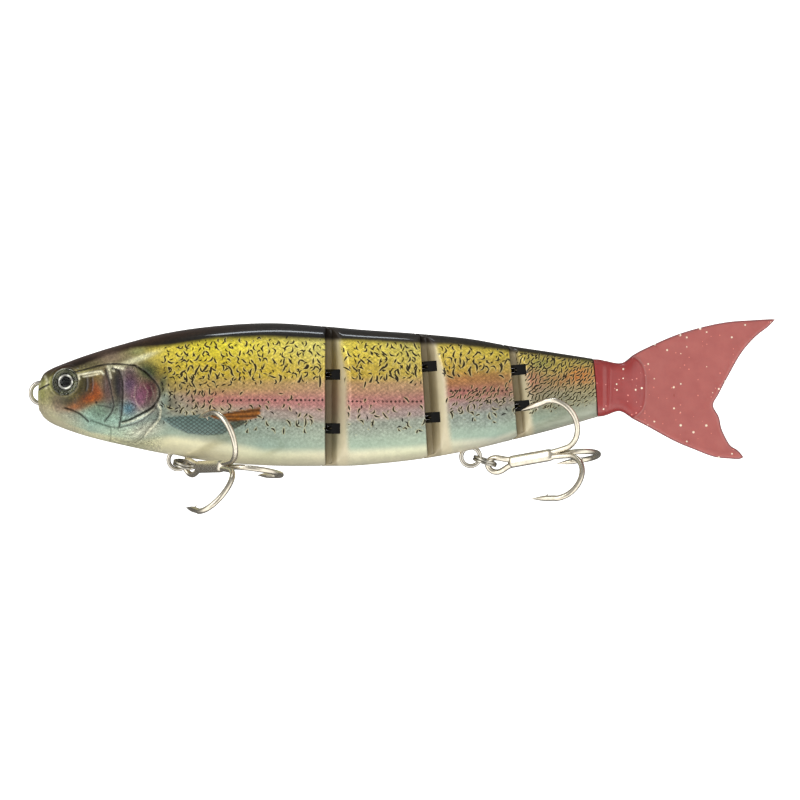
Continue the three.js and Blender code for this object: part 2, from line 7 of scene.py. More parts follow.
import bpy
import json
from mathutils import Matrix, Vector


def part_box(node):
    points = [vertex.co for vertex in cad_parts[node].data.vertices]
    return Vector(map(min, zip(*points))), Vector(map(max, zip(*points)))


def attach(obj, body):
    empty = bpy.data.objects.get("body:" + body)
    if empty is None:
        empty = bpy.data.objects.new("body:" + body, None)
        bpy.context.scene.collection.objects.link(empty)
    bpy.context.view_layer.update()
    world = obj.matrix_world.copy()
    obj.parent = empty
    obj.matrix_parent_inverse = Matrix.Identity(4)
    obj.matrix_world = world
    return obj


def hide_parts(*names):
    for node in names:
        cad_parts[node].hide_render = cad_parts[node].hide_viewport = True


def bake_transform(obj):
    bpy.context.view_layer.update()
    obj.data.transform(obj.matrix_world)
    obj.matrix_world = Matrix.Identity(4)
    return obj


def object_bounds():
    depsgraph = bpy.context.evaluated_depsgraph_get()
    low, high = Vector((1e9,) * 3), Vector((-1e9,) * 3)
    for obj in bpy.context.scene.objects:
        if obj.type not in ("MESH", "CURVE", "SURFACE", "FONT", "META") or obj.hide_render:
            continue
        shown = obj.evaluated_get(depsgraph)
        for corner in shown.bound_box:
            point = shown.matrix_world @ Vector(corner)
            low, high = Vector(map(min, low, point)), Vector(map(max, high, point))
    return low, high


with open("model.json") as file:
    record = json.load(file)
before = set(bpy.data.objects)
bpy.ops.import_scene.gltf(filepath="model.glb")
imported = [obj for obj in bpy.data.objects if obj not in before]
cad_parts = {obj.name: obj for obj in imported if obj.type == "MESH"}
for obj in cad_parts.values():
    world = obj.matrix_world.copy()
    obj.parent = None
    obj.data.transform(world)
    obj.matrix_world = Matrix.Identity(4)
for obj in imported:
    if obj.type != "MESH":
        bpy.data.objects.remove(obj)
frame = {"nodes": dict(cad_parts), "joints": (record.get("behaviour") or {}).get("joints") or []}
cad_bounds = [list(corner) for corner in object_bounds()]

import json
import math

import bmesh
import bpy
import numpy as np
from mathutils import Vector

MM = 0.001
SIDES = {"left": -1, "right": 1}
ON_AXIS = 0.0001  # radius of a turned body's ends

# ------------------------------------------------------------------ body outline and joints

# [x, back height, belly height, half width]
STATIONS = np.array([
    [-0.3, 3.4, -5.4, 3.0],
    [0.7, 5.5, -7.0, 5.0],
    [2.6, 6.9, -8.6, 6.7],
    [6, 8.4, -10.2, 8.2],
    [13, 11.0, -12.6, 9.9],
    [23, 14.1, -15.1, 11.3],
    [37, 17.7, -18.0, 12.5],
    [52, 19.8, -20.3, 13.0],
    [68, 20.6, -21.4, 12.9],
    [84, 19.6, -21.5, 12.3],
    [94, 18.7, -21.3, 11.8],
    [112, 17.4, -19.4, 10.5],
    [126, 16.0, -16.9, 9.3],
    [138, 13.9, -14.0, 8.1],
    [150, 12.1, -11.0, 7.0],
    [164, 9.9, -7.0, 5.7],
])
SECTION_POWER = 2.25  # 2 would be an ellipse
SETBACK = 1.8         # a section's rear rim, ahead of the hinge's pin
KNUCKLE = 3.0         # radius of a section's round front, about the pin
GROOVE = 3.4          # radius of the hollow that takes the knuckle
WEDGE_SLOPE = 0.52    # of the slanted face beside the knuckle
PARTING = 0.05        # half the gap between the two halves

JOINTS = {joint["name"]: joint for joint in frame["joints"]}


def hinge(name, upper, lower, pin_top, pin_bottom):
    """A hinge's pin place and lean, read from the frame, with the heights of its eyes and pin."""
    joint = JOINTS[name]
    return {
        "x": joint["pos_m"][0] / MM,
        "lean": math.asin(-joint["axis"][0]),
        "eyes": {"upper": upper, "lower": lower},
        "pin": (pin_bottom, pin_top),
    }


HINGES = {
    "front": hinge("front_hinge", 5.4, -10.4, 15.5, -18),
    "middle": hinge("middle_hinge", 7.8, -7.2, 13.5, -15.5),
    "rear": hinge("rear_hinge", 6.8, -3.8, 10.5, -9.5),
}
TAIL_END = {"x": 163.2, "lean": math.radians(4.4)}
# pockets for the hinge eyes: their size, the half width of the web between them, and the height
# and rounded end of the slit through that web
SLOT = {"height": 3.1, "ahead": 5.0, "behind": 2.6}
WEB, SLIT, SLIT_END = 2.4, 1.16, 2.12


def hermite(table, x):
    """The table's other columns at x, read with a smooth cubic."""
    xs = table[:, 0]
    count = len(xs)
    index = np.clip(np.searchsorted(xs, x, side="right") - 1, 0, count - 2)
    before = np.clip(np.arange(count) - 1, 0, count - 1)
    after = np.clip(np.arange(count) + 1, 0, count - 1)
    slopes = (table[after] - table[before]) / (xs[after] - xs[before])[:, None]
    span = xs[index + 1] - xs[index]
    t = (x - xs[index]) / span
    t, span = t[..., None], span[..., None]
    p, q = table[index], table[index + 1]
    value = (2 * t**3 - 3 * t**2 + 1) * p + (3 * t**2 - 2 * t**3) * q
    value = value + span * ((t**3 - 2 * t**2 + t) * slopes[index])
    value = value + span * ((t**3 - t**2) * slopes[index + 1])
    return [value[..., column] for column in range(1, table.shape[1])]


def bent(value, power):
    """A sine or cosine bent for a rounded-square section of that power."""
    return np.sign(value) * np.abs(value) ** (2 / power)


def skin(x, theta):
    """Half width and height of the body's surface at x and at the section angle theta."""
    back, belly, width = hermite(STATIONS, x)
    y = width * bent(np.maximum(np.cos(theta), 0), SECTION_POWER)
    z = (back + belly) / 2 + (back - belly) / 2 * bent(np.sin(theta), SECTION_POWER)
    return y, z


def smooth(low, high, value):
    """0 below low, 1 above high, smooth between; low may be the larger one."""
    t = np.clip((value - low) / (high - low), 0, 1)
    return t * t * (3 - 2 * t)


# ------------------------------------------------------------------ meshes from points

def make_object(name, points, faces, sharp_angle=40, merge=1e-4):
    """An object from points in millimetres and faces. Creases over sharp_angle stay sharp."""
    mesh = bpy.data.meshes.new(name)
    bm = bmesh.new()
    verts = [bm.verts.new(Vector(p) * MM) for p in points]
    for face in faces:
        corners = [verts[i] for i in dict.fromkeys(face)]
        if len(corners) > 2:
            try:
                bm.faces.new(corners)
            except ValueError:  # the same face twice, where a grid closes on itself
                pass
    if merge:
        bmesh.ops.remove_doubles(bm, verts=bm.verts, dist=merge * MM)
    loose = [v for v in bm.verts if not v.link_faces]
    bmesh.ops.delete(bm, geom=loose, context="VERTS")
    bmesh.ops.recalc_face_normals(bm, faces=bm.faces)
    bm.to_mesh(mesh)
    bm.free()
    obj = bpy.data.objects.new(name, mesh)
    bpy.context.scene.collection.objects.link(obj)
    shade(obj, sharp_angle)
    return obj


def shade(obj, sharp_angle=40):
    """Smooth shading with sharp edges where two faces meet at more than sharp_angle."""
    bm = bmesh.new()
    bm.from_mesh(obj.data)
    for face in bm.faces:
        face.smooth = True
    for edge in bm.edges:
        if len(edge.link_faces) == 2:
            edge.smooth = edge.calc_face_angle(0) < math.radians(sharp_angle)
    bm.to_mesh(obj.data)
    bm.free()


def grid_faces(rows, columns, base=0, wrap=False):
    """Faces of a grid of points; wrap joins its last column to its first."""
    faces = []
    for r in range(rows - 1):
        for c in range(columns if wrap else columns - 1):
            d = (c + 1) % columns
            a = base + r * columns
            faces.append((a + c, a + d, a + columns + d, a + columns + c))
    return faces


def capped_faces(rings, sides):
    """Faces of rings of points, one after the other, with both ends closed."""
    ends = [tuple(range(sides)), tuple(range((rings - 1) * sides, rings * sides))]
    return grid_faces(rings, sides, wrap=True) + ends


def circle(sides):
    """Angles evenly round a circle."""
    return np.linspace(0, 2 * math.pi, sides, endpoint=False)


def tube(points, radii, sides=16, closed=False):
    """A round tube along points: (points, faces)."""
    path = np.array(points, float)
    count = len(path)
    radii = np.broadcast_to(np.asarray(radii, float), (count,))
    if closed:
        tangents = np.roll(path, -1, 0) - np.roll(path, 1, 0)
    else:
        tangents = np.gradient(path, axis=0)
    tangents /= np.linalg.norm(tangents, axis=1)[:, None]
    normal = np.cross(tangents[0], [0.123, 0.456, 0.881])
    normal /= np.linalg.norm(normal)
    rings = []
    angles = circle(sides)
    for i in range(count):
        normal = normal - tangents[i] * np.dot(normal, tangents[i])
        normal /= np.linalg.norm(normal)
        other = np.cross(tangents[i], normal)
        ring = path[i] + radii[i] * (
            np.cos(angles)[:, None] * normal + np.sin(angles)[:, None] * other
        )
        rings.append(ring)
    if not closed:
        return np.concatenate(rings), capped_faces(count, sides)
    faces = grid_faces(count, sides, wrap=True)
    # the last ring may be turned against the first one, so it is joined at the nearest corner
    shift = int(np.argmin(np.linalg.norm(rings[-1] - rings[0][0], axis=1)))
    last = (count - 1) * sides
    for c in range(sides):
        a, b = last + (c + shift) % sides, last + (c + 1 + shift) % sides
        faces.append((a, b, (c + 1) % sides, c))
    return np.concatenate(rings), faces


def joined(*parts):
    """Several (points, faces) as one."""
    points, faces, base = [], [], 0
    for verts, polys in parts:
        points.append(np.asarray(verts, float))
        faces += [tuple(i + base for i in poly) for poly in polys]
        base += len(verts)
    return np.concatenate(points), faces


def lathe(profile, sides=32):
    """A turned body about +Z from (radius, height) rows that start and end near the axis."""
    points = [(r * math.cos(a), r * math.sin(a), z) for r, z in profile for a in circle(sides)]
    return np.array(points), grid_faces(len(profile), sides, wrap=True)


def spline(points, steps):
    """A smooth curve through points, with the given number of steps in each span."""
    p = np.array(points, float)
    ext = np.vstack([2 * p[0] - p[1], p, 2 * p[-1] - p[-2]])
    out = []
    for i in range(1, len(ext) - 2):
        for t in np.linspace(0, 1, steps, endpoint=False):
            a, b, c, d = ext[i - 1], ext[i], ext[i + 1], ext[i + 2]
            out.append(0.5 * (2 * b + (c - a) * t + (2 * a - 5 * b + 4 * c - d) * t * t
                              + (3 * b - a - 3 * c + d) * t**3))
    out.append(p[-1])
    return np.array(out)


def rotation(axis, angle):
    """The matrix that turns by an angle about X, Y or Z, given as 0, 1 or 2."""
    matrix = np.eye(3)
    a, b = (axis + 1) % 3, (axis + 2) % 3
    matrix[a, a] = matrix[b, b] = math.cos(angle)
    matrix[b, a] = math.sin(angle)
    matrix[a, b] = -matrix[b, a]
    return matrix


def turned(points, matrix, offset=(0, 0, 0)):
    """Points turned by a matrix, then moved."""
    return np.asarray(points) @ np.array(matrix).T + np.array(offset)


def float_attribute(obj, name, values):
    """One number for each point of a mesh, for its material."""
    attribute = obj.data.attributes.new(name, "FLOAT", "POINT")
    attribute.data.foreach_set("value", np.asarray(values, np.float32))


def colour_attribute(obj, name, values):
    """One colour for each point of a mesh, for its material."""
    attribute = obj.data.attributes.new(name, "FLOAT_COLOR", "POINT")
    rgba = np.ones((len(values), 4), np.float32)
    rgba[:, :3] = values
    attribute.data.foreach_set("color", rgba.ravel())


def positions(obj):
    """A mesh's points in millimetres."""
    co = np.zeros(len(obj.data.vertices) * 3, np.float32)
    obj.data.vertices.foreach_get("co", co)
    return co.reshape(-1, 3).astype(float) / MM


def linear(rgb):
    """sRGB 0-255 to linear."""
    c = np.asarray(rgb, float) / 255
    return np.where(c <= 0.04045, c / 12.92, ((c + 0.055) / 1.055) ** 2.4)


# ------------------------------------------------------------------ node materials

class Graph:
    """A short way to write a node graph. Values may be numbers, tuples or sockets."""

    def __init__(self, tree):
        self.tree = tree

    def add(self, kind, **properties):
        """A new node with some of its properties set."""
        node = self.tree.nodes.new(kind)
        for key, value in properties.items():
            setattr(node, key, value)
        return node

    def put(self, socket, value):
        """Links a socket into another one, or sets its value."""
        if isinstance(value, bpy.types.NodeSocket):
            self.tree.links.new(value, socket)
        elif value is not None:
            if socket.type == "RGBA" and len(value) == 3:
                value = (*value, 1)
            socket.default_value = value

    def math(self, operation, a, b=None, c=None, clamp=False):
        """Arithmetic on numbers."""
        node = self.add("ShaderNodeMath", operation=operation, use_clamp=clamp)
        for socket, value in zip(node.inputs, (a, b, c)):
            self.put(socket, value)
        return node.outputs[0]

    def vector(self, operation, a, b=None, scale=None):
        """Arithmetic on vectors."""
        node = self.add("ShaderNodeVectorMath", operation=operation)
        self.put(node.inputs[0], a)
        self.put(node.inputs[1], b)
        if scale is not None:
            self.put(node.inputs["Scale"], scale)
        return node.outputs["Vector"]

    def mix(self, factor, a, b, blend="MIX"):
        """One colour mixed into another."""
        node = self.add("ShaderNodeMix", data_type="RGBA", blend_type=blend, clamp_factor=True)
        self.put(node.inputs["Factor"], factor)
        self.put(node.inputs["A"], a)
        self.put(node.inputs["B"], b)
        return node.outputs["Result"]

    def ramp(self, value, *stops):
        """A colour by value from (place, colour) stops; a number as colour is a grey."""
        node = self.add("ShaderNodeValToRGB")
        elements = node.color_ramp.elements
        while len(elements) < len(stops):
            elements.new(0.5)
        for element, (place, rgb) in zip(elements, stops):
            element.position = place
            element.color = (*(rgb if np.ndim(rgb) else (rgb,) * 3), 1)
        self.put(node.inputs[0], value)
        return node.outputs[0]

    def window(self, value, low, high, bottom=0.0, top=1.0):
        """From bottom at low to top at high, smooth between; low may be the larger one."""
        node = self.add("ShaderNodeMapRange", interpolation_type="SMOOTHSTEP", clamp=True)
        self.put(node.inputs["Value"], value)
        self.put(node.inputs["From Min"], low)
        self.put(node.inputs["From Max"], high)
        self.put(node.inputs["To Min"], bottom)
        self.put(node.inputs["To Max"], top)
        return node.outputs["Result"]

    def attribute(self, name, output="Fac"):
        """A value that the mesh carries."""
        return self.add("ShaderNodeAttribute", attribute_name=name).outputs[output]

    def tinted(self, share, colour, factor):
        """The colour, multiplied by a factor colour to the share given."""
        return self.mix(share, colour, self.mix(1.0, colour, factor, "MULTIPLY"))

    def noise(self, vector, scale, detail=3, roughness=0.55, output="Fac"):
        """Soft clouds, between 0 and 1."""
        node = self.add("ShaderNodeTexNoise")
        self.put(node.inputs["Vector"], vector)
        self.put(node.inputs["Scale"], scale)
        self.put(node.inputs["Detail"], detail)
        self.put(node.inputs["Roughness"], roughness)
        return node.outputs[output]

    def voronoi(self, vector, randomness, feature="F1"):
        """A flat net of cells, one to each unit."""
        node = self.add("ShaderNodeTexVoronoi", voronoi_dimensions="2D", feature=feature)
        self.put(node.inputs["Vector"], vector)
        self.put(node.inputs["Scale"], 1.0)
        self.put(node.inputs["Randomness"], randomness)
        return node

    def split(self, vector):
        """The three parts of a vector."""
        node = self.add("ShaderNodeSeparateXYZ")
        self.put(node.inputs[0], vector)
        return node.outputs

    def random(self, cells):
        """Three random numbers of a Voronoi cell."""
        node = self.add("ShaderNodeSeparateColor")
        self.put(node.inputs[0], cells.outputs["Color"])
        return node.outputs

    def rotated(self, vector, angle):
        """A flat vector turned by an angle."""
        node = self.add("ShaderNodeVectorRotate", rotation_type="Z_AXIS")
        self.put(node.inputs["Vector"], vector)
        self.put(node.inputs["Angle"], angle)
        return node.outputs[0]

    def object_mm(self):
        """The rest-frame position in millimetres."""
        coordinates = self.add("ShaderNodeTexCoord")
        return self.vector("SCALE", coordinates.outputs["Object"], scale=1 / MM)

    def flank(self, position, stretch_x, stretch_z):
        """The side view's (x, z) of a position, as a flat vector."""
        parts = self.split(position)
        join = self.add("ShaderNodeCombineXYZ")
        self.put(join.inputs[0], self.math("MULTIPLY", parts[0], stretch_x))
        self.put(join.inputs[1], self.math("MULTIPLY", parts[2], stretch_z))
        return join.outputs[0]

    def bump(self, height, strength, distance):
        """A normal from heights, with the distance in millimetres."""
        node = self.add("ShaderNodeBump")
        self.put(node.inputs["Strength"], strength)
        self.put(node.inputs["Distance"], distance * MM)
        self.put(node.inputs["Height"], height)
        return node.outputs[0]


class Nodes(Graph):
    """A material's graph around one principled shader."""

    def __init__(self, name):
        self.material = bpy.data.materials.new(name)
        self.material.use_nodes = True
        super().__init__(self.material.node_tree)
        self.tree.nodes.clear()
        self.shader = self.add("ShaderNodeBsdfPrincipled")
        out = self.add("ShaderNodeOutputMaterial")
        self.tree.links.new(self.shader.outputs[0], out.inputs["Surface"])

    def set(self, **values):
        """Sets the shader's inputs and gives the finished material."""
        for key, value in values.items():
            self.put(self.shader.inputs[key.replace("_", " ")], value)
        return self.material


# Ink strokes, one in each cell. Lengths are in millimetres and angles in radians; stretch makes
# cells wider than high, lean is the middle angle, spread the range of angles, curl the most bend.
STROKES = {
    "small": dict(cell=2.15, stretch=0.95, length=2.3, width=0.54, lean=-0.25, spread=2.0,
                  curl=0.90, seed=3.1),
    "fine": dict(cell=1.7, stretch=1.0, length=1.5, width=0.42, lean=0.2, spread=2.4, curl=0.9,
                 seed=11.7),
    "bold": dict(cell=2.3, stretch=0.60, length=3.6, width=0.68, lean=0.15, spread=1.0, curl=0.36,
                 seed=27.4),
    "maze": dict(cell=1.1, stretch=0.9, length=2.5, width=0.42, lean=0.70, spread=1.2, curl=0.35,
                 seed=41.9),
}
INK = linear((18, 9, 2))
HALO = linear((250, 236, 170))
# painted shade inside the hinge pockets
POCKET_SHADE_PAINT = linear((14, 13, 12))
SCALE_EDGE = linear((48, 46, 36))
DOT_PITCH = 1.25


def strokes(g, position, density, cell, stretch, length, width, lean, spread, curl, seed):
    """Short curved ink strokes, one in each cell: (ink, halo) masks."""
    place = g.flank(position, 1 / cell, stretch / cell)
    place = g.vector("ADD", place, (seed, seed * 1.7, 0))
    cells = g.voronoi(place, 0.75)
    random = g.random(cells)
    offset = g.vector("SUBTRACT", place, cells.outputs["Position"])
    offset = g.vector("MULTIPLY", offset, (cell, cell / stretch, 0))
    angle = g.math("MULTIPLY_ADD", random[0], spread, lean - spread / 2)
    across, along, _ = g.split(g.rotated(offset, angle))
    bend = g.math("MULTIPLY_ADD", random[1], 2 * curl, -curl)
    across = g.math("MULTIPLY_ADD", g.math("MULTIPLY", along, along), bend, across)
    half = g.math("MULTIPLY_ADD", random[2], length * 0.35, length * 0.32)
    reach = g.math("DIVIDE", along, half)
    wide = g.math("DIVIDE", g.math("ABSOLUTE", across), width / 2)
    distance = g.math("ADD", wide, g.math("MULTIPLY", reach, reach))
    chosen = g.math("FRACT", g.math("MULTIPLY", random[2], 7.31))
    shown = g.math("LESS_THAN", chosen, density)
    ink = g.math("MULTIPLY", g.window(distance, 1.12, 0.80), shown)
    halo = g.math("MULTIPLY", g.window(distance, 2.4, 1.2), shown)
    return ink, halo


def printed_shell():
    """Trout print under a clear coat: airbrushed colours, ink marks, scales and foil grain, and
    painted shade and highlights.
    """
    g = Nodes("trout_print")
    position = g.object_mm()
    colour = g.attribute("paint", "Color")

    # foil grain and soft blotches
    grain = g.noise(position, 1.25, detail=4, roughness=0.72)
    speckle = g.ramp(grain, (0.30, 0.50), (0.50, 1.0), (0.70, 1.70))
    colour = g.tinted(g.attribute("grain"), colour, speckle)
    blotch = g.noise(position, 0.35, detail=3)
    colour = g.tinted(0.5, colour, g.ramp(blotch, (0.3, 0.86), (0.7, 1.12)))

    # wrinkled foil on the head's plates, its creases painted dark with bright sides as painted shade
    # and highlights
    foil = g.attribute("foil")
    warp = g.noise(position, 0.5, detail=3, output="Color")
    warped = g.vector("ADD", position, g.vector("SCALE", warp, scale=3.0))
    wrinkle = g.math("ABSOLUTE", g.math("SUBTRACT", g.noise(warped, 0.85, detail=3), 0.5))
    wrinkle = g.math("MULTIPLY", wrinkle, 9.0, clamp=True)
    crease_shade_and_highlight = g.ramp(wrinkle, (0.0, 0.16), (0.14, 0.40), (0.26, 2.2), (0.5, 1.05), (1.0, 0.80))
    colour = g.tinted(foil, colour, crease_shade_and_highlight)

    # scales, an even net that is strongest on the flank
    tilt = g.rotated(g.flank(position, 1 / 1.15, 1 / 0.8), math.pi / 4)
    net = g.voronoi(tilt, 0.15, feature="DISTANCE_TO_EDGE")
    scale_line = g.window(net.outputs["Distance"], 0.20, 0.02)
    scaled = g.math("MULTIPLY", scale_line, g.attribute("scales"))
    colour = g.mix(scaled, colour, SCALE_EDGE)

    # ink marks; the finest ones have no halo
    ink = halo = None
    for kind, shape in STROKES.items():
        mark, glow = strokes(g, position, g.attribute(f"ink_{kind}"), **shape)
        ink = mark if ink is None else g.math("MAXIMUM", ink, mark)
        if kind != "fine":
            halo = glow if halo is None else g.math("MAXIMUM", halo, glow)
    colour = g.mix(g.math("MULTIPLY", halo, 0.26), colour, HALO)

    # the lateral line's row of dots
    beat = g.math("DIVIDE", g.split(position)[0], DOT_PITCH)
    beat = g.math("SUBTRACT", g.math("FRACT", beat), 0.5)
    beat = g.math("MULTIPLY", beat, DOT_PITCH)
    drop = g.attribute("lateral")
    dot = g.math("ADD", g.math("MULTIPLY", beat, beat), g.math("MULTIPLY", drop, drop))
    dot = g.window(dot, 0.19, 0.08)
    spotty = g.window(g.noise(position, 0.9, detail=1), 0.34, 0.46)
    ink = g.math("MAXIMUM", ink, g.math("MULTIPLY", g.math("MULTIPLY", dot, spotty), 0.9))

    # engraved lines are darkened with the ink colour
    ink = g.math("MAXIMUM", ink, g.attribute("line"))
    colour = g.mix(g.math("MULTIPLY", ink, 0.97), colour, INK)
    # painted shade: the walls of the hinge pockets go near-black
    colour = g.mix(g.attribute("recess"), colour, POCKET_SHADE_PAINT)

    sparkle = g.noise(position, 6.0, detail=1)
    height = g.math("ADD", g.math("MULTIPLY", grain, 0.35), g.math("MULTIPLY", scaled, -0.6))
    height = g.math("ADD", height, g.math("MULTIPLY", ink, -0.25))
    height = g.math("ADD", height, g.math("MULTIPLY", g.math("MULTIPLY", wrinkle, foil), 1.6))
    return g.set(
        Base_Color=colour,
        Metallic=g.math("MULTIPLY", g.attribute("printed"), 0.30),
        Roughness=g.math("MULTIPLY_ADD", sparkle, 0.22, 0.24),
        Normal=g.bump(height, 0.35, 0.08),
        Coat_Weight=0.55,
        Coat_Roughness=0.04,
        Specular_IOR_Level=0.12,
    )


def steel(name, rgb, roughness, dark=0.75):
    """Drawn or plated steel with faint wear and draw marks; hinge parts get painted shade and are
    rougher.
    """
    g = Nodes(name)
    position = g.object_mm()
    wear = g.noise(position, 0.8, detail=4)
    streak = g.noise(g.vector("MULTIPLY", position, (1.0, 6.0, 6.0)), 1.6, detail=2)
    tarnish = g.attribute("tarnish")
    base = g.ramp(wear, (0.3, linear(rgb) * dark), (0.72, linear(rgb)))
    # painted shade: hinge parts go darker grey
    base = g.tinted(tarnish, base, linear((120, 116, 108)))
    rough = g.math("MULTIPLY_ADD", streak, 0.10, roughness - 0.05)
    rough = g.math("MULTIPLY_ADD", tarnish, 0.12, rough)
    return g.set(
        Base_Color=base, Metallic=1.0, Roughness=rough, Normal=g.bump(streak, 0.12, 0.03)
    )


def ballast_metal():
    """Pitted cast metal, inside the shells."""
    g = Nodes("cast_ballast")
    pits = g.noise(g.object_mm(), 1.6, detail=5)
    base = g.ramp(pits, (0.3, linear((92, 95, 100))), (0.7, linear((150, 152, 156))))
    return g.set(Base_Color=base, Metallic=0.8, Roughness=0.55, Normal=g.bump(pits, 0.4, 0.2))


def insert_plastic():
    """Red plastic, inside the tail's root."""
    g = Nodes("insert_plastic")
    grain = g.noise(g.object_mm(), 2.5, detail=3)
    base = g.ramp(grain, (0.3, linear((128, 34, 42))), (0.7, linear((150, 44, 52))))
    return g.set(Base_Color=base, Roughness=0.5, Normal=g.bump(grain, 0.2, 0.05))


# rings of the printed eye from its middle out, as shares of IRIS_REACH
IRIS_REACH = 4.0
IRIS_RINGS = (
    (0.0, (0, 0, 0)), (0.385, (0, 0, 0)), (0.41, (150, 150, 138)), (0.44, (246, 244, 234)),
    (0.52, (238, 236, 224)), (0.55, (30, 30, 22)), (0.62, (60, 62, 44)), (0.78, (108, 110, 84)),
    (0.88, (52, 54, 40)), (0.93, (196, 196, 176)), (0.98, (206, 206, 186)), (1.0, (60, 60, 48)),
)


def eye_print():
    """The printed eye: coloured rings, a little uneven and worn."""
    g = Nodes("eye_print")
    position = g.object_mm()
    fibre = g.noise(position, 2.6, detail=4)
    radius = g.math("DIVIDE", g.attribute("radius"), IRIS_REACH)
    radius = g.math("MULTIPLY_ADD", fibre, 0.03, g.math("SUBTRACT", radius, 0.015))
    base = g.ramp(radius, *((place, linear(rgb)) for place, rgb in IRIS_RINGS))
    base = g.tinted(0.6, base, g.ramp(fibre, (0.35, 0.75), (0.65, 1.15)))
    wash = g.noise(position, 0.55, detail=1)
    base = g.tinted(1.0, base, g.ramp(wash, (0.42, 0.30), (0.56, 1.0)))
    return g.set(Base_Color=base, Metallic=0.25, Roughness=0.35, Specular_IOR_Level=0.05,
                 Normal=g.bump(fibre, 0.2, 0.05))


def eye_lens():
    """Clear resin over the printed eye."""
    g = Nodes("eye_lens")
    ripple = g.noise(g.object_mm(), 0.7, detail=1)
    return g.set(Base_Color=(1.0, 1.0, 1.0), Roughness=0.0, Transmission_Weight=1.0, IOR=1.22,
                 Normal=g.bump(ripple, 0.03, 0.05))


# glitter in the tail: cell size, share of cells with a fleck, colour, shift of the cells
GLITTER = ((1.9, 0.13, (255, 240, 218), 0.0), (1.3, 0.10, (226, 138, 128), 7.3))


def soft_tail():
    """Translucent red plastisol with a darker rim and sparse glitter."""
    g = Nodes("soft_tail")
    position = g.object_mm()
    cloud = g.noise(position, 0.25, detail=3)
    thin = g.ramp(cloud, (0.3, linear((170, 94, 90))), (0.7, linear((180, 103, 98))))
    thick = g.ramp(cloud, (0.3, linear((150, 50, 50))), (0.7, linear((162, 60, 58))))
    base = g.mix(g.attribute("thick"), thin, thick)
    rim = g.math("MULTIPLY", g.attribute("rim"), 0.75)
    base = g.mix(rim, base, linear((120, 58, 62)))

    fleck = None
    for cell, share, rgb, shift in GLITTER:
        place = g.vector("ADD", g.flank(position, 1 / cell, 1 / cell), (shift, shift * 1.3, 0))
        cells = g.voronoi(place, 1.0)
        random = g.random(cells)
        size = g.math("MULTIPLY_ADD", random[1], 0.10, 0.06)
        spot = g.window(cells.outputs["Distance"], g.math("MULTIPLY", size, 1.35), size)
        spot = g.math("MULTIPLY", spot, g.math("LESS_THAN", random[0], share))
        base = g.mix(spot, base, linear(rgb))
        fleck = spot if fleck is None else g.math("MAXIMUM", fleck, spot)
    return g.set(
        Base_Color=base,
        Roughness=g.math("MULTIPLY_ADD", cloud, 0.12, 0.24),
        Metallic=g.math("MULTIPLY", fleck, 0.3),
        Subsurface_Weight=0.35,
        Subsurface_Radius=(1.0, 0.35, 0.3),
        Subsurface_Scale=2.0 * MM,
        Coat_Weight=0.25,
        Coat_Roughness=0.12,
        Normal=g.bump(cloud, 0.15, 0.4),
    )


MATERIALS = {
    "printed_shell": printed_shell(),
    "ballast_metal": ballast_metal(),
    "eye_print": eye_print(),
    "eye_lens": eye_lens(),
    "wire_steel": steel("wire_steel", (214, 208, 196), 0.20),
    "ring_steel": steel("ring_steel", (190, 186, 176), 0.16, dark=0.6),
    "hook_steel": steel("hook_steel", (228, 220, 203), 0.26),
    "insert_plastic": insert_plastic(),
    "soft_tail": soft_tail(),
}


def finish_piece(obj, slot, body, *nodes):
    """Gives a piece its material and its body, and hides the CAD nodes that it stands for."""
    obj.data.materials.clear()
    obj.data.materials.append(MATERIALS[slot])
    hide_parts(*nodes)
    if body:
        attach(obj, body)
    return obj
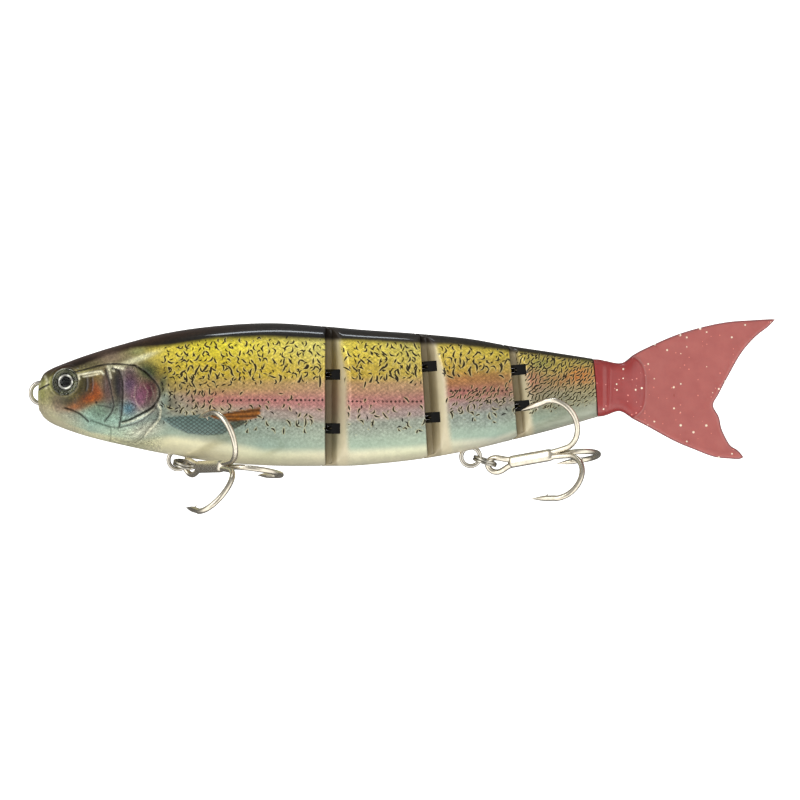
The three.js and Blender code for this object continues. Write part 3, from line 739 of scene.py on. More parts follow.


# ------------------------------------------------------------------ the print's colours, with painted shade and highlights

# The print in the side view, with painted shade in its colours. Each row: x, then a height and its
# colour for every band.
PAINT_ROWS = {
    -0.3: [(5.3, 60, 42, 28), (3.9, 84, 70, 40), (2.9, 150, 148, 95), (0.9, 165, 165, 110),
           (-0.9, 170, 170, 110), (-2.6, 180, 172, 130), (-4.1, 185, 175, 145), (-5.3, 195, 185, 155),
           (-6.2, 200, 190, 160), (-6.8, 200, 190, 160), (-7.4, 195, 185, 155)],
    5.6: [(8.2, 80, 50, 35), (6.8, 60, 45, 30), (5.6, 110, 105, 70), (2.6, 110, 110, 75),
          (0.3, 135, 138, 90), (-2.1, 150, 148, 105), (-4.4, 175, 160, 140), (-6.2, 170, 172, 150),
          (-7.7, 190, 190, 160), (-8.8, 205, 200, 170), (-10.0, 205, 198, 168)],
    14.4: [(11.5, 84, 56, 40), (9.7, 55, 40, 28), (8.5, 140, 130, 95), (6.2, 120, 110, 75),
           (2.6, 120, 100, 65), (-0.9, 140, 120, 80), (-3.8, 140, 160, 140), (-7.4, 140, 172, 158),
           (-10.9, 150, 172, 155), (-12.1, 200, 200, 165), (-13.8, 215, 210, 180)],
    26.2: [(15.6, 88, 58, 40), (13.8, 60, 40, 25), (12.1, 150, 140, 95), (9.1, 150, 140, 100),
           (3.8, 140, 130, 100), (-0.6, 140, 130, 110), (-5.0, 140, 150, 135), (-8.0, 140, 165, 150),
           (-12.7, 155, 170, 145), (-15.0, 200, 198, 160), (-17.4, 212, 208, 175)],
    38.0: [(18.0, 84, 58, 42), (14.7, 55, 45, 28), (13.0, 204, 186, 66), (6.2, 184, 164, 58),
           (1.5, 160, 140, 80), (-1.5, 152, 142, 118), (-5.0, 148, 147, 128), (-8.2, 125, 150, 142),
           (-11.5, 150, 168, 150), (-14.1, 200, 195, 160), (-19.1, 205, 200, 172)],
    51.2: [(19.7, 80, 60, 48), (16.8, 40, 38, 30), (14.7, 214, 196, 52), (6.2, 188, 163, 48),
           (2.4, 178, 150, 88), (-2.1, 182, 122, 112), (-5.6, 178, 165, 140), (-9.4, 140, 165, 155),
           (-12.7, 160, 170, 150), (-15.6, 200, 196, 165), (-20.3, 200, 192, 160)],
    66.0: [(20.6, 70, 64, 58), (17.4, 45, 42, 35), (15.0, 210, 194, 76), (5.6, 192, 167, 56),
           (2.1, 182, 148, 98), (-2.1, 182, 122, 116), (-6.2, 165, 155, 145), (-9.1, 158, 170, 155),
           (-15.6, 150, 172, 156), (-18.6, 200, 200, 168), (-21.5, 190, 184, 155)],
    82.2: [(19.7, 60, 58, 60), (16.5, 50, 46, 42), (14.7, 206, 196, 106), (5.6, 190, 168, 76),
           (2.1, 180, 144, 110), (-2.6, 186, 128, 124), (-6.8, 180, 160, 150), (-9.7, 165, 175, 158),
           (-15.6, 163, 180, 160), (-18.6, 205, 200, 170), (-21.5, 190, 184, 160)],
    92.5: [(18.6, 60, 56, 52), (16.2, 60, 54, 42), (14.7, 207, 188, 70), (5.6, 187, 160, 60),
           (1.8, 182, 142, 106), (-2.6, 184, 126, 120), (-6.8, 176, 158, 150), (-9.4, 165, 172, 158),
           (-15.6, 166, 186, 165), (-18.6, 210, 205, 175), (-21.2, 196, 192, 166)],
    110.1: [(17.1, 66, 62, 56), (15.3, 80, 70, 55), (13.5, 190, 178, 90), (5.9, 186, 164, 76),
            (2.1, 178, 144, 110), (-2.1, 174, 122, 114), (-5.9, 170, 150, 145), (-8.5, 164, 172, 157),
            (-14.7, 170, 188, 166), (-17.1, 205, 206, 175), (-19.7, 198, 192, 165)],
    120.5: [(16.5, 60, 56, 50), (15.0, 90, 80, 55), (13.3, 202, 180, 76), (7.4, 184, 154, 62),
            (3.8, 172, 120, 72), (-0.3, 170, 110, 104), (-4.4, 170, 150, 146), (-7.1, 162, 172, 160),
            (-12.7, 166, 186, 167), (-15.6, 196, 194, 168), (-18.3, 198, 190, 165)],
    133.7: [(14.7, 60, 56, 52), (13.5, 95, 85, 55), (12.1, 188, 168, 64), (8.0, 177, 150, 68),
            (4.7, 162, 118, 70), (0.3, 164, 112, 97), (-3.5, 148, 138, 132), (-6.5, 150, 160, 150),
            (-12.4, 160, 182, 164), (-14.1, 190, 190, 175), (-16.2, 194, 188, 168)],
    147.0: [(12.7, 58, 50, 38), (11.8, 90, 80, 55), (10.3, 173, 154, 72), (6.8, 160, 140, 76),
            (3.8, 154, 122, 82), (0.9, 152, 128, 104), (-0.9, 153, 140, 118), (-2.9, 150, 150, 130),
            (-7.4, 150, 166, 146), (-10.3, 168, 175, 156), (-12.4, 175, 177, 163)],
    161.7: [(10.6, 62, 52, 42), (9.7, 100, 88, 60), (8.5, 168, 144, 72), (6.2, 174, 134, 70),
            (3.8, 174, 130, 80), (1.5, 166, 148, 104), (0.0, 160, 152, 118), (-1.5, 160, 157, 128),
            (-4.4, 157, 161, 142), (-6.2, 158, 164, 148), (-7.7, 176, 174, 158)],
}
BANDS = range(11)
BACK, DORSAL_EDGE, YELLOW, YELLOW_END, TAN, PINK, LAVENDER, TEAL, TEAL_END, CREAM, BELLY = BANDS
# the studio's light is evened out by these factors, one for each band, and one for the head
BAND_GAIN = (0.55, 0.32, 1.40, 1.18, 1.08, 1.05, 0.98, 0.90, 0.85, 1.18, 1.22)
HEAD_GAIN = 0.92
BRIGHTEST = 0.9

PAINT_X = np.array(sorted(PAINT_ROWS))
PAINT_TABLE = np.array([PAINT_ROWS[x] for x in PAINT_X], float)
PAINT_Z = PAINT_TABLE[:, :, 0]
BODY_SHARE = smooth(24, 40, PAINT_X)[:, None]
PAINT_GAIN = np.array(BAND_GAIN) * BODY_SHARE + HEAD_GAIN * (1 - BODY_SHARE)
PAINT_RGB = np.minimum(linear(PAINT_TABLE[:, :, 1:]) * PAINT_GAIN[:, :, None], BRIGHTEST)


def paint_height(band, x):
    """Height of a band of the print at x."""
    return np.interp(x, PAINT_X, PAINT_Z[:, band])


def fade(x, z, outer, inner, outer_shift=0.0, inner_shift=0.0):
    """From 0 at one band's height to 1 at another's, each shifted by a few millimetres."""
    return smooth(paint_height(outer, x) + outer_shift, paint_height(inner, x) + inner_shift, z)


def hump(distance, width):
    """1 at no distance, fading to nothing at some widths."""
    return np.exp(-((distance / width) ** 2))


def blended(colour, other, weight):
    """Colours mixed towards other ones by each place's weight."""
    weight = np.asarray(weight)[:, None]
    return colour * (1 - weight) + other * weight


def band_colour(x, z):
    """The print's banded colour at side-view places, with its painted shade."""
    heights = [paint_height(band, x) for band in BANDS]
    colours = [
        np.stack([np.interp(x, PAINT_X, PAINT_RGB[:, band, k]) for k in range(3)], 1)
        for band in BANDS
    ]
    result = colours[BACK]
    for upper, lower, above, below in zip(heights, heights[1:], colours, colours[1:]):
        step = blended(above, below, smooth(upper, lower, z))
        result = np.where((z < upper)[:, None], step, result)
    return result


# Airbrushed patches, a few of them painted highlights: x, z, half length, half height, turn, colour,
# strength.
PATCHES = [
    (2.6, 0.8, 3.6, 3.6, 30, (176, 176, 104), 0.6),
    (4.0, -3.0, 2.4, 4.2, 0, (178, 176, 128), 0.5),
    (5.0, -3.0, 1.7, 2.6, 0, (160, 142, 140), 0.75),
    (8.0, -2.2, 3.6, 1.6, -8, (76, 70, 42), 0.85),
    (13.2, 2.6, 2.4, 3.6, 0, (74, 70, 40), 0.9),
    (16.4, 4.6, 2.6, 2.0, 0, (120, 100, 52), 0.8),
    # a painted highlight: the pale-gold edge above the cheek
    (11.6, 6.2, 3.0, 0.8, 12, (232, 226, 150), 0.5),
    (16.2, 1.0, 1.3, 2.4, 20, (176, 88, 38), 0.9),
    (14.8, -1.6, 3.7, 1.7, 22, (204, 100, 30), 0.97),
    (10.2, -4.0, 3.0, 1.2, 8, (160, 90, 30), 0.9),
    (17.2, -6.6, 4.6, 3.0, -10, (124, 154, 136), 0.75),
    (19.6, 1.2, 1.7, 5.4, 4, (92, 70, 70), 0.92),
    (22.6, 1.8, 1.5, 7.0, 3, (28, 34, 25), 0.99),
    # the next two are painted highlights, white streaks at the top of the dark band
    (20.4, 7.6, 0.8, 1.2, 0, (206, 206, 176), 0.6),
    (22.8, 7.6, 1.5, 0.5, 0, (216, 214, 186), 0.6),
    (26.2, 3.2, 2.9, 4.8, 0, (86, 66, 92), 0.97),
    (31.6, 1.0, 3.4, 4.0, -20, (104, 46, 62), 0.98),
    (28.8, -1.6, 2.6, 3.4, -15, (126, 76, 102), 0.9),
    (25.8, -4.6, 2.2, 2.1, 0, (76, 110, 124), 0.95),
    (29.0, -7.6, 4.4, 1.3, 26, (178, 194, 184), 0.7),
    (31.4, 6.2, 3.6, 2.4, -40, (58, 74, 50), 0.92),
    (35.8, 3.0, 1.2, 3.6, -20, (84, 100, 76), 0.7),
    # a painted highlight: the pale streak above the gill plate
    (29.0, 10.2, 5.2, 0.8, 20, (240, 238, 194), 0.85),
    (20.6, 10.4, 3.6, 1.5, 12, (158, 134, 118), 0.6),
    (28.6, 12.2, 2.2, 1.0, 10, (156, 166, 112), 0.6),
    (31.0, -11.0, 5.4, 2.4, 24, (206, 206, 184), 0.8),
    (36.4, -2.6, 1.6, 3.6, 0, (150, 176, 166), 0.7),
    (40.0, -3.6, 3.6, 2.6, 0, (160, 158, 140), 0.5),
]

# Shaded and lit places: x, z, half length, half height, turn, multiplier of the colour there.
SHADES = [
    (5.2, -2.4, 3.2, 3.8, 0, (0.40, 0.36, 0.24)),
    (8.4, -2.8, 1.6, 1.6, 0, (0.55, 0.52, 0.25)),
    (11.4, 9.0, 3.4, 1.2, 20, (0.45, 0.42, 0.40)),
    (15.0, 7.6, 3.2, 1.4, 20, (0.55, 0.55, 0.48)),
    (14.2, 4.2, 1.8, 1.2, 0, (0.60, 0.60, 0.40)),
    (20.6, -3.4, 1.0, 1.6, 0, (0.60, 0.66, 0.72)),
    (2.4, -0.2, 1.8, 2.2, 0, (0.60, 0.56, 0.58)),
    (8.6, 6.2, 3.4, 1.6, 10, (0.55, 0.50, 0.45)),
    (11.4, -1.0, 2.6, 3.0, 0, (0.30, 0.26, 0.10)),
    (14.4, 2.2, 2.4, 3.0, 0, (0.48, 0.44, 0.38)),
    (14.2, -1.8, 3.2, 2.0, 20, (0.52, 0.46, 0.18)),
    (17.6, -1.0, 2.0, 3.0, 0, (0.66, 0.68, 0.66)),
    (20.3, 5.2, 1.5, 2.6, 0, (0.46, 0.46, 0.44)),
    (22.9, 4.0, 1.5, 3.2, 0, (0.60, 0.58, 0.58)),
    (26.4, 4.8, 2.4, 1.7, 0, (0.74, 0.62, 0.50)),
    (32.4, 6.8, 2.6, 2.2, -30, (0.46, 0.50, 0.40)),
    (32.6, 0.8, 1.6, 3.8, 0, (0.50, 0.48, 0.50)),
    (35.6, 1.4, 1.2, 2.2, 0, (0.46, 0.43, 0.30)),
    (36.2, 6.4, 2.0, 2.4, 0, (0.70, 0.66, 0.52)),
    (32.0, -3.4, 1.8, 1.8, 0, (0.52, 0.48, 0.52)),
    (34.6, -7.2, 2.2, 2.4, 0, (0.46, 0.48, 0.48)),
    (30.6, -9.0, 3.6, 2.6, 24, (0.62, 0.62, 0.62)),
    (38.0, -3.0, 2.0, 2.4, 0, (0.52, 0.52, 0.48)),
    (17.4, -5.4, 2.8, 2.4, 0, (0.66, 0.66, 0.62)),
    (9.6, -6.4, 3.4, 2.2, 0, (0.72, 0.64, 0.60)),
    (19.6, -12.2, 7.0, 1.6, 0, (1.45, 1.42, 1.42)),
    (32.0, -13.4, 5.0, 2.2, 20, (0.72, 0.74, 0.72)),
]

# Warm and green clouds of the last section, laid out like PATCHES.
TAIL_PATCHES = [
    (144.6, 3.9, 2.6, 3.0, 0, (178, 112, 96), 0.75),
    (158.6, 5.4, 3.6, 2.2, 0, (206, 118, 52), 0.80),
    (152.4, 3.4, 3.0, 1.6, 0, (170, 118, 72), 0.55),
    (147.4, 8.8, 3.2, 1.4, 0, (122, 134, 58), 0.60),
    (153.6, 7.8, 3.4, 1.4, 0, (176, 158, 52), 0.50),
    (159.5, 9.0, 2.6, 0.9, 0, (128, 132, 70), 0.50),
    (152.0, -0.6, 6.0, 1.6, 0, (128, 132, 116), 0.55),
]


def patch_weight(x, z, cx, cz, half_x, half_z, turn):
    """1 in the middle of a soft turned ellipse, fading to 0 outside it."""
    angle = math.radians(turn)
    along = (x - cx) * math.cos(angle) + (z - cz) * math.sin(angle)
    across = (z - cz) * math.cos(angle) - (x - cx) * math.sin(angle)
    distance = np.sqrt((along / half_x) ** 2 + (across / half_z) ** 2)
    return np.exp(-0.9 * distance**2.4)


def add_patches(x, z, colour, patches, shades=()):
    """Lays patches and shades over the colours at side-view places."""
    for *ellipse, rgb, strength in patches:
        colour = blended(colour, linear(rgb), strength * patch_weight(x, z, *ellipse))
    for *ellipse, factor in shades:
        colour = blended(colour, colour * factor, patch_weight(x, z, *ellipse))
    return colour


# Engraved lines of the head in the side view: depth, half width, how dark, then (x, z) points.
HEAD_LINES = [
    (0.45, 0.28, 1.0, [(-0.6, 1.0), (0.9, 1.9), (2.2, 2.5)]),
    (0.35, 0.26, 0.8, [(6.9, -4.4), (9.2, -5.1), (11.6, -6.3), (14.0, -8.4)]),
    (0.35, 0.24, 0.95, [(10.2, 6.2), (14.5, 7.4), (18.1, 8.3), (22.4, 8.6), (27.6, 8.1)]),
    (0.50, 0.30, 0.9, [(27.6, 8.1), (30.2, 6.5), (32.5, 4.5), (34.3, 2.2), (35.0, 0.2),
                       (34.5, -1.8), (32.5, -4.4), (29.2, -6.3), (26.3, -7.8), (24.0, -8.5)]),
    (0.35, 0.24, 0.7, [(23.0, -10.3), (25.6, -9.6), (28.9, -8.5), (31.8, -6.5), (33.5, -4.7),
                       (34.3, -3.0)]),
    (0.30, 0.24, 0.35, [(33.8, -4.0), (34.6, -5.7), (33.8, -8.0), (31.5, -10.6), (29.9, -13.2),
                        (27.6, -14.8)]),
    (0.35, 0.24, 0.85, [(18.9, 7.1), (20.1, 3.2), (20.9, -0.8), (21.4, -3.4), (20.7, -5.7),
                        (18.8, -8.3)]),
    (0.20, 0.20, 0.5, [(16.6, -3.6), (18.2, -3.7), (20.6, -4.2)]),
    (0.40, 0.26, 0.85, [(21.0, 7.4), (23.3, 6.1), (24.0, 1.2), (23.9, -3.4), (23.6, -6.3),
                        (23.0, -9.9)]),
    (0.25, 0.22, 0.55, [(14.5, -8.0), (17.1, -8.9), (20.1, -9.9), (23.0, -10.3)]),
    (0.25, 0.22, 0.45, [(20.6, -10.3), (20.4, -14.0)]),
    (0.18, 0.20, 0.25, [(21.6, -13.6), (25.0, -14.6), (28.5, -13.4), (31.0, -10.6)]),
    (0.18, 0.20, 0.30, [(24.4, -12.2), (27.0, -12.4), (29.8, -10.2)]),
    (0.10, 0.30, 0.75, [(13.4, 4.2), (13.6, 2.6), (13.3, 0.9)]),
    (0.10, 0.26, 0.60, [(15.0, 4.4), (15.2, 2.4), (14.9, 0.6)]),
    (0.10, 0.20, 0.35, [(18.2, 6.2), (18.8, 3.2), (18.9, 0.2)]),
    (0.15, 0.18, 0.5, [(24.6, -3.2), (26.8, -3.0), (28.0, -4.4), (25.4, -6.6)]),
    (0.10, 0.16, 0.35, [(29.5, 4.4), (28.2, 1.2), (28.6, -2.0), (30.4, -4.6)]),
    (0.10, 0.16, 0.40, [(34.6, -2.6), (32.6, -4.9), (30.4, -8.0), (27.4, -9.6)]),
    (0.10, 0.16, 0.40, [(33.0, -5.6), (31.2, -8.4), (29.0, -10.6), (25.6, -11.6)]),
    (0.10, 0.16, 0.30, [(36.0, -6.6), (34.0, -9.4), (32.0, -11.8)]),
]
CHEEK_DOT = (16.3, -2.8, 0.55)  # a dark dot: x, z and radius
# Painted highlights, bright streaks where light catches the relief: strength, half width, then (x, z)
# points.
PAINTED_HIGHLIGHTS = [
    (0.9, 0.30, [(11.2, 4.2), (11.0, 5.3), (14.0, 5.9), (17.7, 6.5), (18.3, 5.6)]),
    (0.6, 0.22, [(12.4, 4.8), (15.0, 5.2), (17.2, 5.7)]),
    (0.7, 0.24, [(19.6, 8.0), (20.2, 6.2), (20.6, 4.4)]),
    (0.6, 0.22, [(21.6, 7.9), (21.4, 6.4)]),
    (0.8, 0.30, [(21.8, 7.5), (24.4, 7.2)]),
    (0.5, 0.24, [(23.9, -8.9), (27.0, -8.2), (30.5, -6.6), (33.2, -4.9)]),
    (0.6, 0.22, [(34.4, -3.2), (35.3, -4.9), (34.9, -7.6), (32.6, -10.4), (30.6, -12.6)]),
    (0.16, 0.20, [(27.8, 1.8), (27.4, -1.2), (28.6, -4.0), (30.4, -5.4)]),
    (0.12, 0.18, [(30.2, 2.4), (31.4, 0.4), (31.0, -2.2)]),
    (0.12, 0.18, [(32.4, 2.0), (33.2, -0.4), (32.2, -3.0)]),
    (0.5, 0.40, [(1.2, 4.9), (1.9, 3.4), (1.4, 1.6)]),
]
# Outlines of the head's raised plates and of the fin, in the side view.
GILL_PLATE = [(24.2, 7.6), (27.6, 8.1), (30.2, 6.5), (32.5, 4.5), (34.3, 2.2), (35.0, 0.2),
              (34.5, -1.8), (32.5, -4.4), (29.2, -6.3), (26.3, -7.8), (24.0, -8.5), (24.2, 0.0)]
GILL_FLAP = [(24.0, -8.5), (29.2, -6.3), (32.5, -4.4), (34.0, -3.6), (34.6, -5.7), (33.8, -8.0),
             (31.5, -10.6), (29.9, -13.2), (27.6, -14.8), (22.0, -14.2), (21.0, -10.4)]
CHEEK_PLATE = [(18.9, 7.1), (20.1, 3.2), (20.9, -0.8), (21.4, -3.4), (20.7, -5.7), (18.8, -8.3),
               (14.5, -8.0), (11.6, -6.3), (9.2, -5.1), (10.5, 0.0), (10.6, 6.0)]
FIN_RAYS = [(48.9, -6.4), (54.2, -5.8), (59.3, -4.9), (64.6, -4.2), (64.9, -5.9), (63.6, -7.4),
            (59.3, -8.3), (55.7, -8.5), (51.2, -7.7)]
FIN_PAD = [(35.2, -7.4), (41.0, -6.6), (48.9, -6.0), (55.0, -7.6), (62.0, -8.2), (58.0, -10.4),
           (53.5, -12.3), (48.9, -12.6), (43.0, -12.0), (38.5, -10.0)]

# the camera looks along +Y at this place; the distance and the picture's width are in metres
CAMERA_DISTANCE = 1.1
FRAME_WIDTH = 0.2356
AIM_X, AIM_Z = 105.7, -2.06


def side_view(x, y, z):
    """Where the camera at the side sees a place, as x and z on the middle plane."""
    grow = CAMERA_DISTANCE / (CAMERA_DISTANCE - np.abs(y) * MM)
    return AIM_X + (x - AIM_X) * grow, AIM_Z + (z - AIM_Z) * grow


def line_distance(x, z, points):
    """Distance from side-view places to a broken line."""
    best = np.full(len(x), 1e9)
    for (x0, z0), (x1, z1) in zip(points, points[1:]):
        dx, dz = x1 - x0, z1 - z0
        t = np.clip(((x - x0) * dx + (z - z0) * dz) / (dx * dx + dz * dz), 0, 1)
        best = np.minimum(best, np.hypot(x - x0 - t * dx, z - z0 - t * dz))
    return best


def inside_distance(x, z, polygon):
    """How far inside a side-view outline each place is; negative outside."""
    inside = np.zeros(len(x), bool)
    for (x0, z0), (x1, z1) in zip(polygon, polygon[1:] + polygon[:1]):
        crosses = (z0 > z) != (z1 > z)
        if z1 != z0:
            at = (x1 - x0) * (z - z0) / (z1 - z0) + x0
            inside ^= crosses & (x < at)
    distance = line_distance(x, z, polygon + polygon[:1])
    return np.where(inside, distance, -distance)


# the engraved lines run smoothly through their points
HEAD_LINES = [(*rest, [tuple(p) for p in spline(points, 4)]) for *rest, points in HEAD_LINES]

# the right eye looks outward, a little forward and up; the left one mirrors it
EYE_FORWARD, EYE_UP = math.radians(11), math.radians(9)
EYE_OUT = Vector((-math.sin(EYE_FORWARD), math.cos(EYE_FORWARD), math.sin(EYE_UP))).normalized()
EYE_LIFT = 0.8  # from the middle of the CAD iris out to the plane of the eye's rim
iris_low, iris_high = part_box("eye_iris_right")
eye_centre = (Vector(iris_low) + Vector(iris_high)) / 2 / MM + EYE_OUT * EYE_LIFT
EYE = {"x": eye_centre.x, "y": eye_centre.y, "z": eye_centre.z,
       "radius": 3.95, "dome": 1.5, "depth": 1.5}
# raised plates: outline, rise, and where the rise begins and ends, inward from the outline
PLATES = (
    (GILL_PLATE, 0.34, 0.0, 0.5),
    (GILL_FLAP, 0.20, 0.0, 0.6),
    (CHEEK_PLATE, 0.16, 0.0, 0.6),
    (FIN_RAYS, 0.30, -0.1, 0.5),
    (FIN_PAD, 0.22, -0.1, 0.6),
)
# each engraved line has a raised bank beside it: its shift, and its height as a share of depth
BANK_X, BANK_Z, BANK_SHARE = -0.25, 0.45, 0.45
# the raised ring round the eye
SOCKET_RADIUS, SOCKET_WIDTH, SOCKET_RISE = 4.75, 0.6, 0.34


def head_relief(x, y, z):
    """Relief of the head's modelling at its skin, with each place's distance from the eye's axis
    and how far out along that axis it is."""
    view_x, view_z = side_view(x, y, z)
    height = np.zeros(len(x))
    for plate, rise, start, end in PLATES:
        height += rise * smooth(start, end, inside_distance(view_x, view_z, plate))
    for depth, half_width, _, points in HEAD_LINES:
        height -= depth * hump(line_distance(view_x, view_z, points), half_width)
        bank = line_distance(view_x + BANK_X, view_z + BANK_Z, points)
        height += depth * BANK_SHARE * hump(bank, half_width)
    side = np.sign(y)
    from_eye = np.stack([x - EYE["x"], y * side - EYE["y"], z - EYE["z"]], 1)
    out = from_eye @ np.array(EYE_OUT)
    radius = np.sqrt(np.maximum((from_eye**2).sum(1) - out**2, 0))
    height += SOCKET_RISE * hump(radius - SOCKET_RADIUS, SOCKET_WIDTH)
    return height, radius, out


# ------------------------------------------------------------------ printed half shells

# size of the roundings at a shell's rear edge, at its shoulder and at the snout
REAR_ROUND, SHOULDER_ROUND, SNOUT_ROUND = 0.55, 1.5, 0.55
SHELL_CREASE, HEAD_CREASE = 38, 50  # edges sharper than this, in degrees, stay sharp
# how far round its arc, in radians, a groove or a knuckle is followed
GROOVE_TURN, KNUCKLE_TURN = 1.25, 1.2
# spacing of columns where the head carries relief, and the still finer stretch at its snout
RELIEF_STEP, SNOUT_LENGTH, SNOUT_COLUMNS = 0.30, 3.2, 26


def at_hinge(joint, behind, z):
    """X of a place some way behind a hinge's leaning pin, at a height."""
    return joint["x"] + (behind - z * math.sin(joint["lean"])) / math.cos(joint["lean"])


def from_hinge(joint, x, z):
    """A place as seen from a hinge's pin: how far behind it and how far up along it."""
    c, s = math.cos(joint["lean"]), math.sin(joint["lean"])
    return (x - joint["x"]) * c + z * s, z * c - (x - joint["x"]) * s


def wedge(y):
    """Front end of a section from above: a round knuckle, then a slanted face."""
    arc = -np.sqrt(np.maximum(KNUCKLE**2 - y**2, 0))
    return np.where(y < KNUCKLE, arc, (y - KNUCKLE) * WEDGE_SLOPE)


def mouth(y):
    """Rear end of a section from above: a rim with a groove for the next knuckle."""
    return np.minimum(-SETBACK, -np.sqrt(np.maximum(GROOVE**2 - y**2, 0)))


def end_face(joint, profile, theta, start=0.0):
    """An end of a shell: its corner on the skin, and a function for places on the face."""

    def meet(shape, first):
        """Where each row of skin meets the end, closed in on step by step."""
        x = np.full(len(theta), first)
        for _ in range(30):
            y, z = skin(x, theta)
            x = at_hinge(joint, shape(y), z)
        return x

    x_skin = meet(profile, joint["x"] + start)
    y_skin, z_skin = skin(x_skin, theta)
    _, z_middle = skin(meet(lambda y: profile(y * 0), joint["x"]), theta)

    def place(y):
        """A column on the face, at some way out from the middle plane."""
        share = np.divide(y, y_skin, out=np.zeros(len(theta)), where=y_skin > 1e-6)
        z = z_middle + (z_skin - z_middle) * share
        return at_hinge(joint, profile(y), z), y, z

    return (x_skin, y_skin, z_skin), place


def on_skin(x, theta):
    """A column of the grid that lies on the skin."""
    return (x, *skin(x, theta))


def rounded(start, corner, end, shares):
    """Columns along the curve that rounds a corner."""
    return [
        tuple((1 - t) ** 2 * p + 2 * t * (1 - t) * q + t * t * r
              for p, q, r in zip(start, corner, end))
        for t in shares
    ]


def rear_end(joint, theta):
    """Columns of the rear face from the middle plane out and over its rounded edge."""
    profile = mouth if joint in HINGES.values() else np.zeros_like
    corner, face = end_face(joint, profile, theta)
    width = corner[1]
    edge = np.minimum(REAR_ROUND, width * 0.45)
    lip = np.minimum(width - edge, math.sqrt(GROOVE**2 - SETBACK**2))
    stops = [lip * math.sin(t) / math.sin(GROOVE_TURN) for t in np.linspace(0, GROOVE_TURN, 7)]
    stops += [lip + (width - edge - lip) * t for t in (0.33, 0.67, 1.0)]
    columns = [face(y) for y in stops]
    x_skin = corner[0] - edge
    columns += rounded(columns[-1], corner, on_skin(x_skin, theta), (0.25, 0.5, 0.75))
    return columns, x_skin


def front_end(joint, theta):
    """Columns of the rounded shoulder, the slanted face and the knuckle, skin to middle plane."""
    corner, face = end_face(joint, wedge, theta, start=2.0)
    width = corner[1]
    round_share = smooth(0.8, 7.0, width)
    x_skin = corner[0] + SHOULDER_ROUND * round_share
    inner = width * (1 - 0.5 * round_share)
    turn = np.minimum(inner, KNUCKLE)
    columns = rounded(on_skin(x_skin, theta), corner, face(inner), np.linspace(0, 1, 13)[1:])
    columns += [face(inner + (turn - inner) * t) for t in (0.35, 0.7, 1.0)]
    for t in np.linspace(KNUCKLE_TURN, 0, 7)[1:]:
        columns.append(face(turn * math.sin(t) / math.sin(KNUCKLE_TURN)))
    return columns, x_skin


def snout_end(theta):
    """Columns of the head's blunt rounded snout."""
    x_nose, back, belly, _ = STATIONS[0]
    x_skin = np.full(len(theta), x_nose)
    y, z = skin(x_skin, theta)
    middle = (back + belly) / 2
    columns = []
    for t in np.linspace(0, math.pi / 2, 12)[1:]:
        shrink = math.cos(t)
        x = x_skin - SNOUT_ROUND * math.sin(t)
        columns.append((x, y * shrink, middle + (z - middle) * shrink))
    return columns, x_skin


def relief_shares(length, relief, step):
    """Columns of the head, from the rear: coarse, then fine over its relief and snout."""
    coarse = np.arange(0, length - relief, step)
    fine = np.linspace(length - relief, length, int(relief / RELIEF_STEP))
    fine = fine[fine < length - SNOUT_LENGTH]
    snout = np.linspace(length - SNOUT_LENGTH, length, SNOUT_COLUMNS)
    return np.unique(np.concatenate([coarse, fine, snout])) / length


def half_shell(name, side, rear, front=None, rows=110, step=0.7, relief=None):
    """One half of a body section: skin, shaped ends and a flat parting face."""
    theta = np.linspace(-math.pi / 2, math.pi / 2, rows)
    columns, x_rear = rear_end(rear, theta)
    end_columns, x_front = front_end(front, theta) if front else snout_end(theta)
    if relief:
        shares = relief_shares(rear["x"] - STATIONS[0, 0], relief, step)
    else:
        shares = np.linspace(0, 1, int((x_rear.max() - x_front.min()) / step))
    columns += [on_skin(x_rear + (x_front - x_rear) * share, theta) for share in shares]
    columns += end_columns

    grid = np.array(columns).transpose(2, 0, 1)
    width = grid.shape[1]
    grid[:, :, 1] = side * np.maximum(grid[:, :, 1], PARTING)
    # the parting face lies inside the grid's four edges
    outline = list(range(width))
    outline += [r * width + width - 1 for r in range(1, rows)]
    outline += [(rows - 1) * width + c for c in range(width - 2, -1, -1)]
    outline += [r * width for r in range(rows - 2, 0, -1)]
    faces = grid_faces(rows, width) + [tuple(outline)]
    return make_object(name, grid.reshape(-1, 3), faces, sharp_angle=SHELL_CREASE)


def cut(obj, cutter):
    """Takes a cutter's space out of a piece."""
    modifier = obj.modifiers.new("cut", "BOOLEAN")
    modifier.operation = "DIFFERENCE"
    modifier.solver = "EXACT"
    modifier.object = cutter
    depsgraph = bpy.context.evaluated_depsgraph_get()
    mesh = bpy.data.meshes.new_from_object(obj.evaluated_get(depsgraph))
    obj.modifiers.remove(modifier)
    obj.data = mesh


def at_joint(joint, points):
    """Points made about a hinge's pin, moved to it."""
    return turned(points, rotation(1, -joint["lean"]), (joint["x"], 0, 0))


def prism(outline, low, high):
    """An upright body from an (x, y) outline."""
    count = len(outline)
    points = [(x, y, z) for z in (low, high) for x, y in outline]
    return np.array(points, float), capped_faces(2, count)


OUTSIDE = 20    # well past the flanks
OVERCUT = 0.1   # how far the slit runs into the pockets
TOUCH = 0.02    # within this a face counts as lying on a wall


